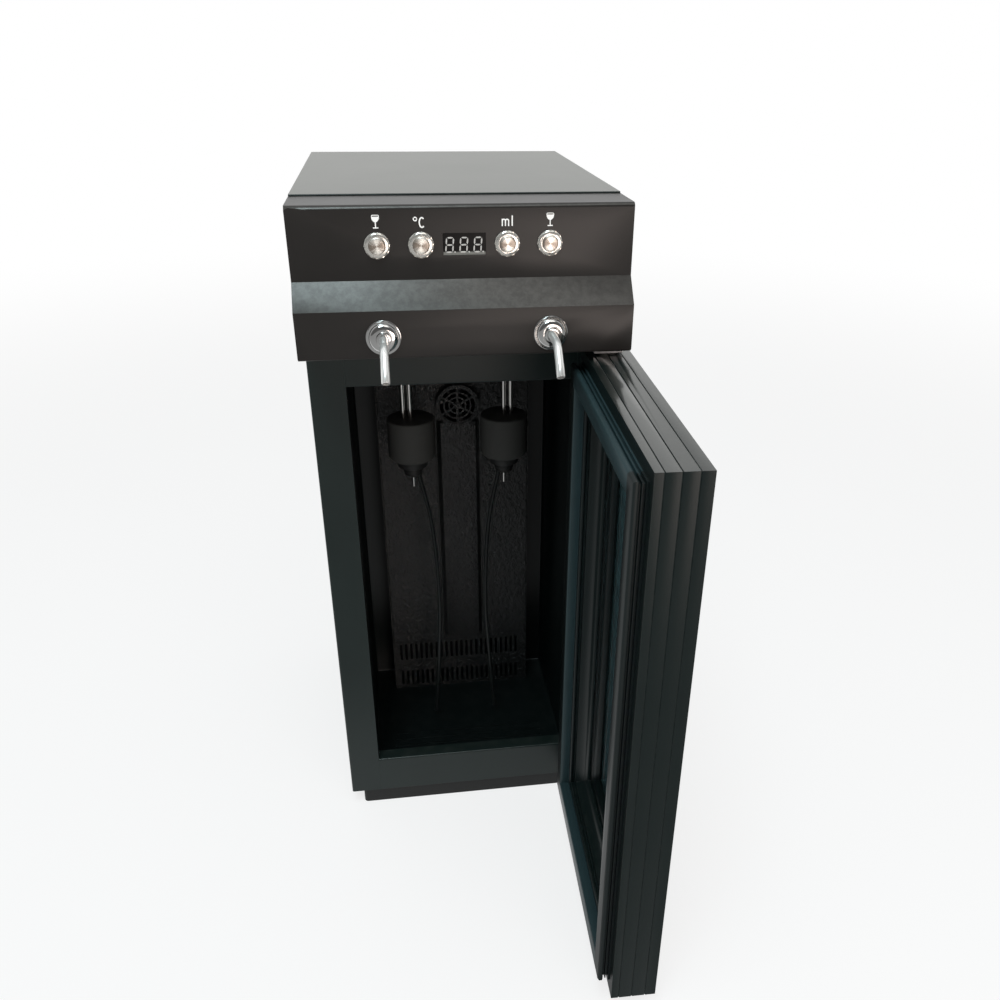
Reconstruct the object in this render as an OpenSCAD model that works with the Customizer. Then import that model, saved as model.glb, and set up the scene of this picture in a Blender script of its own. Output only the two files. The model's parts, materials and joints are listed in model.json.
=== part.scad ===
// Two-bottle wine preservation dispenser: a cooled cabinet with a double-glazed door, two bottle
// stoppers that hang on gas and wine lines, and a bevelled head with buttons, display and spouts.
// Origin: middle of the cabinet's footprint on the floor. +Z is up and the front faces -Y. Millimetres.
// The door stands open, as stored. Its parts are drawn shut and swung about the hinge pin.

/* [Cabinet] */
// Width over the side panels
cabinet_w = 250; // [246:1:256]
// Depth from the front frame to the rear panel
cabinet_d = 298; // [294:1:306]
// Height from the floor to the top cover
cabinet_h = 600; // [598:1:606]
// Height of the base frame under the cabinet
plinth_h = 17; // [15:1:18]
// Thickness of the painted steel sheet
sheet = 1.2; // [1:0.1:1.4]
// Width of each upright of the front frame
stile_w = 29.5; // [28:0.5:31]

/* [Cold compartment] */
// Underside and top edge of the front opening
opening_z = [57, 452]; // [50:460]
// Floor and ceiling of the cold compartment
bay_z = [40, 462]; // [38:466]
// Depth from the front frame to the face of the air duct cover
bay_d = 140; // [136:1:142]
// Width between the compartment's side walls
bay_w = 196; // [194:1:197]

/* [Head] */
// Underside of the head
head_z = 493; // [491:1:496]
// How far the upper front face stands ahead of the front frame
upper_front = 45.5; // [44:0.5:48]
// How far the lower front face stands ahead of the front frame
lower_front = 60.5; // [56:0.5:64]
// Lower and upper edge of the bevel between the two front faces
bevel_z = [528.5, 547]; // [526:549]
// Height of the row of buttons
button_z = 571.5; // [570:0.5:573]
// Distance of each button from the middle
button_x = [31.2, 62.5]; // [30:64]

/* [Door] */
// Thickness of the door
door_t = 36.8; // [36:0.1:38]
// Bottom and top edge of the door
door_z = [17, 485]; // [17:486]
// Gap between the shut door and the front frame, filled by the seal
door_gap = 10; // [9.5:0.1:11]
// Angle at which the door stands open
door_open = 88.4; // [0:0.1:110]

/* [Lines and stoppers] */
// Distance of each stopper from the middle
stopper_x = 43.5; // [42:0.5:46]
// Distance of the stoppers behind the front frame
stopper_y = 80; // [76:1:82]
// Diameter of a stopper
stopper_d = 44; // [40:1:46]
// Lower and upper face of a stopper
stopper_z = [353.5, 394]; // [350:398]
// Distance of each spout from the middle
spout_x = 62; // [60:1:64]
// Height of the spouts' axis
spout_z = 509.3; // [508:0.1:511]

/* [Hidden] */
$fn = 64;

paint = "#17191a";
plastic = "#1c1f21";
rubber = "#141414";
steel = "#b9bcc0";
brass = "#b59a4a";

half_w = cabinet_w / 2;
front = -cabinet_d / 2;
back = cabinet_d / 2;
in_x = half_w - sheet;
throat_x = half_w - stile_w;
hem = 12;
plinth_w = cabinet_w - 23;
plinth_d = cabinet_d - 14;
plinth_wall = 16;
body_top = cabinet_h - sheet;
head_seam = front + 3.5;

// Compartment shell and foam behind it
liner_t = 2;
liner_x = bay_w / 2;
duct_y = front + bay_d;
liner_back = duct_y + 36;
foam_back = liner_back + liner_t + 25;
tray_z = head_z - 4;
groove_y = [36, 46, 56];
groove_w = 2.4;
fan_x = 4;
fan_z = 384;
block_half = 20;
cell_t = 4;

// Front of the head
upper_y = front - upper_front;
lower_y = front - lower_front;
bevel_run = lower_front - upper_front;
bevel_rise = bevel_z[1] - bevel_z[0];
bevel_shift = sheet * tan(atan2(bevel_run, bevel_rise) / 2);
display_size = [31, 15.5];
bezel_r = 9.2;
barrel_r = 6.9;
cap_r = 6;
cap_out = 1.9;
cap_dome = 1.5;
slide_gap = 0.1;
press = 1.5;
board_y = front - 26;
board_t = 1.6;

// Door, in its shut place: door_in is its inner face
door_in = front - door_gap;
door_w = cabinet_w;
door_h = door_z[1] - door_z[0];
pin_x = half_w - 11;
pin_y = door_in - 19.5;
pin_r = 3;
pin_gap = 0.05;
bush_r = 4.5;
bush_l = 16;
rail_w = 30;
lip_w = 38;
plate_t = 3;
bracket_x = [92, 123];
foot_h = 12.7;
hinge_gap = 1.2;
hinge_screw_x = [98, 112];
hinge_screw_z = [door_z[0] - hinge_gap + 4, door_z[1] + hinge_gap - 4];
glass_t = 4;
inner_glass_v = 16.8;
outer_glass_v = door_t - 2 - glass_t;

// Gas and wine lines
line_r = 2.25;
line_gap = 6.5;
line_gap_r = 0.08;
sleeve_r = 10;
line_top = 512;
hose_r = 2.9;
seal_l = 17;
seal_tip = stopper_z[0] - seal_l;
nozzle_l = 12;
dip_r = 2;
dip_in = 5.4;
// Centre line of a hanging dip tube, from the seal to its open end: x inward, y, z below the seal
dip_route = [[0, 0, 0], [0.3, 0, 4], [2, 0.1, 12], [4.8, 0.2, 25], [7.6, 0.4, 40], [9.8, 0.6, 55],
    [12.1, 0.8, 80], [13.3, 1, 104], [14, 1.1, 128], [14.2, 1.1, 152], [13.4, 1, 176], [12, 0.8, 200],
    [10.7, 0.6, 224], [9.1, 0.4, 246], [7.4, 0.2, 266], [5.7, 0, 285]];

// Machine bay behind the foam
hot_fan = 80;
hot_fan_t = 25;
gas_x = 62;
gas_z = 530;
gas_socket_r = 3.05;
manifold_h = 26;
manifold_z = [gas_z - manifold_h / 2, gas_z + manifold_h / 2];
barb_x = 12;
mains_x = -70;
mains_z = 82;
inlet_half = [13.5, 23.5];

// Box between two limits on each axis
module slab(x, y, z) translate([x[0], y[0], z[0]]) cube([x[1] - x[0], y[1] - y[0], z[1] - z[0]]);

// A piece and its mirror image on the other side
module both_sides() {
    children();
    mirror([1, 0, 0]) children();
}

// Outline drawn as (y, z), drawn out along X between two limits
module along_x(x) translate([x[0], 0, 0]) rotate([90, 0, 90]) linear_extrude(x[1] - x[0]) children();

// Round bar along Y
module rod_y(x, z, y, r) translate([x, y[0], z]) rotate([-90, 0, 0]) cylinder(r = r, h = y[1] - y[0]);

// Turned shape whose profile is (radius, distance ahead of y)
module turned_front(x, y, z) translate([x, y, z]) rotate([90, 0, 0]) rotate_extrude() children();

// Rectangle with round corners
module rounded_plan(w, d, r) {
    square([w - 2 * r, d], center = true);
    square([w, d - 2 * r], center = true);
    for (x = [-1, 1], y = [-1, 1]) translate([x * (w / 2 - r), y * (d / 2 - r)]) circle(r);
}

// Ring outline
module ring(r_out, r_in) difference() {
    circle(r_out);
    circle(r_in);
}

// Row of upright slots through a sheet that faces front or back
module slots(x, z, y, pitch, w) for (s = [x[0] : pitch : x[1]]) slab([s, s + w], y, z);

// ---- Cabinet sheet metal ----

module plinth_ring() color(plastic) translate([0, -5, 0]) difference() {
    linear_extrude(plinth_h) rounded_plan(plinth_w, plinth_d, 4);
    translate([0, 0, -1]) linear_extrude(plinth_h + 2)
        rounded_plan(plinth_w - 2 * plinth_wall, plinth_d - 2 * plinth_wall, 3);
}

module base_pan() color(paint) difference() {
    slab([-in_x, in_x], [front + sheet, back - 2 * sheet], [plinth_h, plinth_h + sheet]);
    // Air intake under the machine bay
    for (i = [-5 : 5]) slab([i * 14 - 3, i * 14 + 3], [foam_back + 8, back - 34], [plinth_h - 1, plinth_h + 2]);
}

// Side sheet folded round the front as an upright, with a hem in the throat and a flange behind
module side_panel(s) color(paint) mirror([s < 0 ? 1 : 0, 0, 0]) difference() {
    translate([0, 0, plinth_h]) union() {
        linear_extrude(head_z - plinth_h) translate([throat_x, front]) square([stile_w, sheet]);
        linear_extrude(body_top - plinth_h) {
            translate([in_x, front]) square([sheet, cabinet_d - sheet]);
            translate([in_x - 14, back - 2 * sheet]) square([14 + sheet, sheet]);
        }
        translate([0, 0, opening_z[0] - plinth_h]) linear_extrude(opening_z[1] - opening_z[0])
            translate([throat_x, front]) square([sheet, hem]);
    }
    slab([in_x - 1, half_w + 1], [front - 1, head_seam], [head_z, cabinet_h]);
    for (z = screw_rows) rod_y(screw_x, z, [back - 4, back], tapped_r);
    if (s > 0) for (x = hinge_screw_x, z = hinge_screw_z) rod_y(x, z, [front - 1, front + 2], tapped_r);
}
module side_panel_left() side_panel(-1);
module side_panel_right() side_panel(1);

// Channel between the uprights: front sheet, sill and the drop to the compartment floor
module bottom_rail() color(paint) along_x([-throat_x, throat_x]) {
    translate([front, plinth_h]) square([sheet, opening_z[0] - plinth_h]);
    translate([front, opening_z[0] - sheet]) square([hem + 2, sheet]);
    translate([front + hem + 2 - sheet, bay_z[0]]) square([sheet, opening_z[0] - bay_z[0]]);
    translate([front, plinth_h + sheet]) square([hem, sheet]);
}

module top_rail() color(paint) along_x([-throat_x, throat_x]) {
    translate([front, opening_z[1]]) square([sheet, head_z - opening_z[1]]);
    translate([front, opening_z[1]]) square([hem, sheet]);
    translate([front, head_z - sheet]) square([hem, sheet]);
}

// Screws of the rear panel and the fan: rows, radii of shank, head and clearance hole
screw_rows = [40, 215, 470, 585];
screw_x = half_w - 8;
screw_r = 1.9;
tapped_r = 2;
clear_r = 2.2;
panel_head_r = 4;
fan_inset = 4.25;
fan_hole = hot_fan / 2 - fan_inset;

// Air slots of the rear panel: rows under and over the fan, height, pitch and width
vent_low = [150 : 28 : 262];
vent_high = [470, 498];
vent_h = 20;
vent_pitch = 8;
vent_w = 3.2;

module rear_panel() color(paint) difference() {
    slab([-half_w, half_w], [back - sheet, back], [plinth_h, body_top]);
    rod_y(0, fan_z, [back - 3, back + 1], hot_fan / 2 - 2);
    for (x = [-1, 1], z = [-1, 1]) rod_y(x * fan_hole, fan_z + z * fan_hole, [back - 3, back + 1], clear_r);
    // Two banks of air slots, under and over the fan
    for (row = vent_low) slots([-86, 84], [row, row + vent_h], [back - 3, back + 1], vent_pitch, vent_w);
    for (row = vent_high) slots([-86, 20], [row, row + vent_h], [back - 3, back + 1], vent_pitch, vent_w);
    rod_y(gas_x, gas_z, [back - 3, back + 1], 6.1);
    slab([mains_x - inlet_half[0] - 0.1, mains_x + inlet_half[0] + 0.1], [back - 3, back + 1],
        [mains_z - inlet_half[1] - 0.1, mains_z + inlet_half[1] + 0.1]);
    for (x = [-1, 1], z = screw_rows) rod_y(x * screw_x, z, [back - 3, back + 1], clear_r);
}

// Cover whose front edge laps over the sheet of the head
module top_cover() color(paint) {
    slab([-half_w, half_w], [head_seam - 2, back], [body_top, cabinet_h]);
    both_sides() slab([in_x - sheet, in_x], [head_seam + 6, back - 8], [body_top - 12, body_top]);
}

// ---- Head ----

// Sheet bent over the top, down the upper face, out along the bevel and under to the seam
module fascia_outline() polygon([[head_seam, body_top], [upper_y, body_top], [upper_y, bevel_z[1]],
    [lower_y, bevel_z[0]], [lower_y, head_z], [head_seam, head_z]]);
module fascia_inside() polygon([[head_seam + 1, body_top - sheet], [upper_y + sheet, body_top - sheet],
    [upper_y + sheet, bevel_z[1] - bevel_shift], [lower_y + sheet, bevel_z[0] - bevel_shift],
    [lower_y + sheet, head_z + sheet], [head_seam + 1, head_z + sheet]]);

module fascia_shell() color("#1d1b1b") difference() {
    along_x([-half_w, half_w]) fascia_outline();
    along_x([-in_x, in_x]) fascia_inside();
    for (x = button_x, s = [-1, 1]) rod_y(s * x, button_z, [upper_y - 1, upper_y + 3], barrel_r + 0.1);
    slab([-display_size[0] / 2, display_size[0] / 2], [upper_y - 1, upper_y + 3],
        [button_z - display_size[1] / 2, button_z + display_size[1] / 2]);
    for (s = [-1, 1]) rod_y(s * spout_x, spout_z, [lower_y - 1, lower_y + 3], 5.1);
}

module head_tray() color(steel) difference() {
    slab([-in_x + sheet, in_x - sheet], [front + sheet, foam_back], [tray_z, tray_z + sheet]);
    for (s = [-1, 1]) translate([s * stopper_x, front + stopper_y, tray_z - 1]) cylinder(r = sleeve_r + 0.1, h = 4);
}

// Ring with a knurled rim round each button, and its threaded barrel
module bezel(x) difference() {
    turned_front(x, upper_y, button_z) polygon([[0, -7], [barrel_r, -7], [barrel_r, 0], [bezel_r, 0],
        [bezel_r, 1.4], [bezel_r - 0.7, 2.2], [bezel_r - 1.6, 2.6], [0, 2.6]]);
    rod_y(x, button_z, [upper_y - 4, upper_y + 8], cap_r + slide_gap);
    for (a = [0 : 30 : 330]) translate([x, upper_y, button_z]) rotate([0, a, 0])
        slab([bezel_r - 0.7, bezel_r + 1], [-3.5, -0.8], [-0.9, 0.9]);
}
module button_bezels() color(steel) for (x = button_x, s = [-1, 1]) bezel(s * x);

// Domed cap with a flange behind the barrel and a stem that reaches its switch when pressed
stem = upper_y + press + 0.1 - (board_y - 5);
module button(x) color(steel) turned_front(x, upper_y, button_z) polygon(concat(
    [[0, stem], [1.8, stem], [1.8, -8.2], [6.8, -8.2], [6.8, -7.1], [cap_r, -7.1], [cap_r, cap_out]],
    [for (a = [15 : 15 : 90]) [cap_r * cos(a), cap_out + cap_dome * sin(a)]]));
module button_pour_left() button(-button_x[1]);
module button_temperature() button(-button_x[0]);
module button_volume() button(button_x[0]);
module button_pour_right() button(button_x[1]);

// Circuit board on edge behind the buttons, with a push switch for each and its chips
module control_board() color("#1f5a3a") {
    slab([-84, 84], [board_y, board_y + board_t], [button_z - 21, button_z + 21]);
    for (x = button_x, s = [-1, 1]) {
        slab([s * x - 3, s * x + 3], [board_y - 3.5, board_y], [button_z - 3, button_z + 3]);
        rod_y(s * x, button_z, [board_y - 5, board_y - 3.5], 1.7);
    }
    slab([-9, 9], [board_y + board_t, board_y + board_t + 2.4], [button_z - 8, button_z + 8]);
    for (s = [-1, 1]) slab([s * 40 - 6, s * 40 + 6], [board_y + board_t, board_y + board_t + 9],
        [button_z - 14, button_z - 6]);
    // Posts that hold the board to the front sheet
    for (x = [-78, 78], z = [-16, 16]) rod_y(x, button_z + z, [upper_y + sheet, board_y], 2.5);
}

// Three-figure display block on its pins
module display_module() color("#101112") {
    slab([-15.3, 15.3], [upper_y + 0.4, upper_y + 9], [button_z - 7.55, button_z + 7.55]);
    for (i = [-5 : 5], s = [-1, 1]) slab([i * 2.54 - 0.3, i * 2.54 + 0.3], [upper_y + 9, board_y],
        [button_z + s * 5 - 0.3, button_z + s * 5 + 0.3]);
}

// ---- Spouts and valves ----

spout_r = 3.1;
spout_bore = 2.2;
spout_run = 23.5;
spout_bend = 14;
spout_turn = 48;
spout_drop = 20;
valve_y = [front - 22, front];
valve_top = 548;
coil_r = 11;
coil_l = 28;
coil_z = 528;

// Stepped rosette with a shank through the head
module spout_flange(s) color(steel) turned_front(s * spout_x, lower_y, spout_z) polygon(concat(
    [[spout_r, -8], [5, -8], [5, 0], [12.9, 0], [12.9, 1.4], [12.2, 2.1]],
    [for (a = [0 : 15 : 90]) [6.4 + 4.4 * cos(a), 2.1 + 3.1 * sin(a)]],
    [[5.4, 5.2], [5.2, 7.4], [4.6, 8], [spout_r, 8]]));
module spout_flange_left() spout_flange(-1);
module spout_flange_right() spout_flange(1);

// Run of the spout: straight out of the valve, down through the bend, and on to the tip
module spout_path(r, r_tip, over) {
    rotate([-90, 0, 0]) cylinder(r = r, h = spout_run + valve_y[0] + 9 - lower_y + over);
    translate([0, 0, -spout_bend]) rotate(180, [1, 0, 1])
        rotate_extrude(angle = spout_turn) translate([spout_bend, 0]) circle(r);
    translate([0, -spout_bend * sin(spout_turn), spout_bend * (cos(spout_turn) - 1)])
        rotate([90 + spout_turn, 0, 0]) translate([0, 0, -0.6]) cylinder(r = r_tip, h = spout_drop + 0.6 + over);
}
// Bent tube, drawn a hair finer past the bend
module spout_tube(s) color(steel) translate([s * spout_x, lower_y - spout_run, spout_z]) difference() {
    spout_path(spout_r, spout_r - 0.06, 0);
    spout_path(spout_bore, spout_bore + 0.05, 1);
}
module spout_tube_left() spout_tube(-1);
module spout_tube_right() spout_tube(1);

// Angle valve: brass block, coil behind it and the hose barb on top
module wine_valve(s) color(brass) translate([s * spout_x, 0, 0]) {
    difference() {
        slab([-coil_r, coil_r], valve_y, [head_z + sheet, valve_top]);
        rod_y(0, spout_z, [valve_y[0] - 1, valve_y[0] + 10], spout_r + 0.05);
        rod_y(0, spout_z, [valve_y[0] + 9, valve_y[0] + 12], spout_bore);
    }
    rod_y(0, coil_z, [valve_y[1], valve_y[1] + coil_l], coil_r);
    rod_y(0, coil_z, [valve_y[1] + coil_l, valve_y[1] + coil_l + 3], 4);
    translate([0, (valve_y[0] + valve_y[1]) / 2, valve_top]) {
        cylinder(r = 4.5, h = 2);
        cylinder(r = line_r, h = 12);
    }
}
module wine_valve_left() wine_valve(-1);
module wine_valve_right() wine_valve(1);

// Hose that rises from one point, crosses over and comes down on another
module hose_arch(p, q, z_p, z_q, z_top, bend) {
    run = norm(q - p);
    translate([p[0], p[1], 0]) rotate([0, 0, atan2(q[1] - p[1], q[0] - p[0])]) {
        translate([0, 0, z_p]) linear_extrude(z_top - bend - z_p) ring(hose_r, line_r);
        translate([bend, 0, z_top - bend]) rotate([90, 0, 0]) rotate([0, 0, 90])
            rotate_extrude(angle = 90) translate([bend, 0]) ring(hose_r, line_r);
        translate([bend, 0, z_top]) rotate([0, 90, 0]) linear_extrude(run - 2 * bend) ring(hose_r, line_r);
        translate([run - bend, 0, z_top - bend]) rotate([90, 0, 0])
            rotate_extrude(angle = 90) translate([bend, 0]) ring(hose_r, line_r);
        translate([run, 0, z_q]) linear_extrude(z_top - bend - z_q) ring(hose_r, line_r);
    }
}

// Wine hose from the valve and gas hose from the manifold, down to the tubes of one stopper
module head_hoses(s) color("#c9cccb") {
    hose_arch([s * spout_x, (valve_y[0] + valve_y[1]) / 2], [s * stopper_x, front + stopper_y],
        valve_top + 2, line_top - 6, 582, 14);
    hose_arch([gas_x + s * barb_x, back - 24], [s * (stopper_x + line_gap), front + stopper_y],
        gas_z + manifold_h / 2 + 6, line_top - 6, 591 + s, 14);
}
module head_hoses_left() head_hoses(-1);
module head_hoses_right() head_hoses(1);

// Distribution block screwed to the gas inlet, with a barb for each bottle
module gas_manifold() color(brass) {
    difference() {
        slab([gas_x - 22, gas_x + 22], [back - 34, back - 7], manifold_z);
        rod_y(gas_x, gas_z, [back - 18, back], 5);
    }
    for (s = [-1, 1]) translate([gas_x + s * barb_x, back - 24, manifold_z[1]]) {
        cylinder(r = 4, h = 3);
        cylinder(r = line_r, h = 14);
    }
    for (x = [gas_x - 22, gas_x + 16]) slab([x, x + 6], [back - 8, back - sheet], manifold_z);
}

// Push-in gas connector: threaded shank, hexagon and release collar round the socket
module gas_inlet() color(steel) difference() {
    union() {
        rod_y(gas_x, gas_z, [back - 17, back + 1], 4.9);
        translate([gas_x, back, gas_z]) rotate([-90, 0, 0]) cylinder(r = 8.6, h = 6, $fn = 6);
        rod_y(gas_x, gas_z, [back + 5, back + 16], 6.6);
        rod_y(gas_x, gas_z, [back + 15, back + 17.5], 4.6);
        rod_y(gas_x, gas_z, [back + 17, back + 18.4], 5.8);
    }
    rod_y(gas_x, gas_z, [back + 4, back + 19], gas_socket_r);
    rod_y(gas_x, gas_z, [back - 18, back + 5], 1.5);
}

// ---- Cold compartment ----

// Square way through the rear foam for the cold block, grown by a gap
module block_window(y, gap) slab([fan_x - block_half - gap, fan_x + block_half + gap], y,
    [fan_z - block_half - gap, fan_z + block_half + gap]);

module liner() color("#22262a") difference() {
    slab([-liner_x - liner_t, liner_x + liner_t], [front + sheet + 0.1, liner_back + liner_t],
        [bay_z[0] - liner_t, bay_z[1] + liner_t]);
    slab([-liner_x, liner_x], [front - 1, liner_back], bay_z);
    block_window([liner_back - 1, liner_back + 4], 0.5);
    for (s = [-1, 1]) translate([s * stopper_x, front + stopper_y, bay_z[1] - 1]) cylinder(r = sleeve_r + 0.1, h = 5);
    // Drip grooves across the floor
    for (y = groove_y) slab([-78, 78], [front + y, front + y + groove_w], [bay_z[0] - 0.8, bay_z[0] + 1]);
}

module insulation() color("#e9e7dd") difference() {
    slab([-in_x, in_x], [front + sheet + 0.1, foam_back], [plinth_h + sheet, tray_z]);
    slab([-liner_x - liner_t, liner_x + liner_t], [front - 1, liner_back + liner_t],
        [bay_z[0] - liner_t, bay_z[1] + liner_t]);
    slab([-throat_x - 1, throat_x + 1], [front, front + hem + 2], [plinth_h, bay_z[0]]);
    block_window([liner_back, foam_back + 1], 0.5);
    for (s = [-1, 1]) translate([s * stopper_x, front + stopper_y, bay_z[1]]) cylinder(r = sleeve_r + 0.1, h = 40);
}

// Sleeve through the ceiling, with a bore for each of the two lines
module grommet(s) translate([s * stopper_x, front + stopper_y, 0]) difference() {
    union() {
        translate([0, 0, bay_z[1] - 3]) cylinder(r = sleeve_r + 3, h = 3);
        translate([0, 0, bay_z[1]]) cylinder(r = sleeve_r, h = tray_z + sheet - bay_z[1]);
        translate([0, 0, tray_z + sheet]) cylinder(r = sleeve_r + 2, h = 2);
    }
    for (x = [0, s * line_gap]) translate([x, 0, bay_z[1] - 4]) cylinder(r = line_r + line_gap_r, h = 60);
}
module ceiling_grommets() color(rubber) for (s = [-1, 1]) grommet(s);

duct_w = 152;
duct_t = 1.8;
rib_w = 43;
rib_out = 5;
rib_z = [112, 366];
grille_r = 19;
outlet_rows = [[79, 100], [44, 63]];
outlet_pitch = 5.7;
outlet_w = 2.6;

// Raised air channel below the fan, drawn as a plan outline
module channel_plan(grow) polygon([[-rib_w / 2 - grow, 0.01], [-rib_w / 2 + 4 - grow, -rib_out - grow],
    [rib_w / 2 - 4 + grow, -rib_out - grow], [rib_w / 2 + grow, 0.01]]);

// Pressed cover over the fan and cold sink: inlet grille, raised channel and two rows of outlet slots
module duct_cover() color("#2a2d2f") difference() {
    union() {
        slab([-duct_w / 2, duct_w / 2], [duct_y, duct_y + duct_t], bay_z);
        both_sides() slab([duct_w / 2 - duct_t, duct_w / 2], [duct_y, liner_back], bay_z);
        translate([fan_x, duct_y, rib_z[0]]) linear_extrude(rib_z[1] - rib_z[0]) channel_plan(0);
        rod_y(fan_x, fan_z, [duct_y - 7, duct_y + 0.5], grille_r + 2.5);
    }
    translate([fan_x, duct_y + duct_t, rib_z[0] + duct_t])
        linear_extrude(rib_z[1] - rib_z[0] - 2 * duct_t) channel_plan(0);
    grille_gaps();
    for (row = outlet_rows) slots([-68.4, 66], row, [duct_y - 1, duct_y + 3], outlet_pitch, outlet_w);
}

// Gaps between the rings and spokes of the inlet grille
module grille_gaps() translate([fan_x, duct_y - 8, fan_z]) rotate([-90, 0, 0]) {
    difference() {
        union() for (r = [4 : 5 : 14]) linear_extrude(12) ring(r + 3.4, r);
        for (a = [0 : 60 : 120]) rotate([0, 0, a + 90]) translate([-25, -1.1, -1]) cube([50, 2.2, 14]);
    }
    translate([0, 0, 9.8]) cylinder(r = grille_r, h = 4);
    translate([0, 0, -1]) difference() {
        cylinder(r = grille_r, h = 3);
        translate([0, 0, -1]) cylinder(r = 3, h = 5);
    }
}

// Square fan housing: plate with a round throat, hub and three arms, bearing bore in the hub
module fan_frame(size, thick, throat_r, hub_r, shaft_r) difference() {
    union() {
        difference() {
            slab([-size / 2, size / 2], [0, thick], [-size / 2, size / 2]);
            rod_y(0, 0, [-1, thick + 1], throat_r);
        }
        rod_y(0, 0, [thick - 2.5, thick], hub_r);
        for (a = [30 : 120 : 270]) rotate([0, a, 0])
            slab([hub_r - 1, throat_r + 1], [thick - 2.5, thick], [-1.2, 1.2]);
    }
    rod_y(0, 0, [-1, thick + 1], shaft_r + pin_gap);
    for (x = [-1, 1], z = [-1, 1])
        rod_y(x * (size / 2 - fan_inset), z * (size / 2 - fan_inset), [-1, thick + 1], screw_r);
}

// Hub with pitched blades and the shaft that runs in the housing
module fan_rotor(thick, blade_r, hub_r, shaft_r, blades) difference() {
    union() {
        rod_y(0, 0, [1, thick - 3], hub_r);
        rod_y(0, 0, [thick - 3.5, thick - 0.3], shaft_r);
        intersection() {
            rod_y(0, 0, [1.4, thick - 3.4], blade_r);
            for (i = [0 : blades - 1]) rotate([0, i * 360 / blades, 0])
                translate([0, thick / 2 - 1, 0]) rotate([38, 0, 0])
                    slab([hub_r - 1, blade_r + 1], [-0.6, 0.6], [-thick, thick]);
        }
    }
    rod_y(0, 0, [0, thick - 5], hub_r - 1.6);
}

module cold_fan_frame() color(plastic) translate([fan_x, duct_y + duct_t, fan_z]) fan_frame(40, 10, 18.6, 8, 1.5);
module cold_fan_rotor() color("#0e0f10") translate([fan_x, duct_y + duct_t, fan_z]) fan_rotor(10, 17.8, 8, 1.5, 7);

// Finned block: fins stand on a base plate that faces the other way
module fins(x, y, z, base, count, fin) {
    slab(x, base, z);
    for (i = [0 : count - 1]) {
        f = x[0] + i * (x[1] - x[0] - fin) / (count - 1);
        slab([f, f + fin], y, z);
    }
}
module cold_sink() color(steel) {
    fins([fan_x - 40, fan_x + 40], [duct_y + 14, liner_back - 5], [fan_z - 50, fan_z + 50],
        [liner_back - 5, liner_back], 14, 1.4);
    block_window([liner_back, foam_back - cell_t], 0);
}
module peltier_module() color("#f0efe9")
    block_window([foam_back - cell_t, foam_back], 0);
module hot_sink() color(steel) fins([-55, 55], [foam_back + 6, foam_back + 52], [fan_z - 65, fan_z + 65],
    [foam_back, foam_back + 6], 18, 1.6);
module hot_fan_frame() color(plastic) translate([0, back - sheet, fan_z]) mirror([0, 1, 0])
    fan_frame(hot_fan, hot_fan_t, 37.4, 17, 2);
module hot_fan_rotor() color("#0e0f10") translate([0, back - sheet, fan_z]) mirror([0, 1, 0])
    fan_rotor(hot_fan_t, 36.4, 17, 2, 7);

guard_rings = [9, 17, 25, 33, 38];
guard_out = 1.5;
wire_r = 0.9;
eye_r = 5.2;
eye_t = 1.6;

// Wire guard outside the rear panel: rings on four crossing arms that end in eyes
module fan_guard() color(steel) translate([0, back + guard_out, fan_z]) rotate([-90, 0, 0]) {
    for (r = guard_rings) rotate_extrude() translate([r, 0]) circle(wire_r, $fn = 24);
    for (a = [45 : 90 : 315]) rotate([0, 0, a]) translate([8, 0, 0]) rotate([0, 90, 0])
        cylinder(r = wire_r, h = fan_hole * sqrt(2) - panel_head_r - 0.3 - 8, $fn = 24);
    for (x = [-1, 1], y = [-1, 1]) translate([x * fan_hole, y * fan_hole, -guard_out])
        linear_extrude(eye_t) ring(eye_r, clear_r);
}

module power_supply() color("#8d9194") difference() {
    slab([-112, -40], [foam_back + 6, back - 32], [plinth_h + sheet, plinth_h + sheet + 110]);
    for (i = [0 : 8]) slab([-104 + i * 7, -101 + i * 7], [foam_back + 5, foam_back + 8], [60, 112]);
}

// ---- Stoppers ----

// Soft round cap with rolled edges
module stopper(s) color(rubber) translate([s * stopper_x, front + stopper_y, stopper_z[0]]) difference() {
    rotate_extrude() {
        r = stopper_d / 2;
        h = stopper_z[1] - stopper_z[0];
        square([r - 2, h]);
        translate([0, 2]) square([r, h - 4]);
        for (z = [2, h - 2]) translate([r - 2, z]) circle(2);
    }
    for (x = [0, s * line_gap]) translate([x, 0, -1]) cylinder(r = line_r, h = stopper_z[1]);
}
module stopper_left() stopper(-1);
module stopper_right() stopper(1);

// Ribbed plug that seals the bottle's mouth, with its collar
module stopper_seal(s) color("#2b2b2b") translate([s * stopper_x, front + stopper_y, seal_tip]) difference() {
    rotate_extrude() polygon([[0, 0], [7.6, 0], [8.6, 2], [8.2, 3], [9.3, 5.2], [8.8, 6.2], [9.6, 8.2],
        [9.1, 9], [14, 9.8], [14, seal_l], [0, seal_l]]);
    translate([0, 0, -1]) cylinder(r = 1.55, h = seal_l + 2);
}
module stopper_seal_left() stopper_seal(-1);
module stopper_seal_right() stopper_seal(1);

// The two rigid tubes above a stopper and the short gas nozzle under its seal
module line_tubes(s) color(steel) translate([s * stopper_x, front + stopper_y, 0]) {
    for (x = [0, s * line_gap]) translate([x, 0, stopper_z[0]])
        linear_extrude(line_top - stopper_z[0]) ring(line_r, 1.6);
    translate([0, 0, seal_tip - nozzle_l]) linear_extrude(nozzle_l + seal_l) ring(1.5, 0.9);
}
module line_tubes_left() line_tubes(-1);
module line_tubes_right() line_tubes(1);

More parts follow.
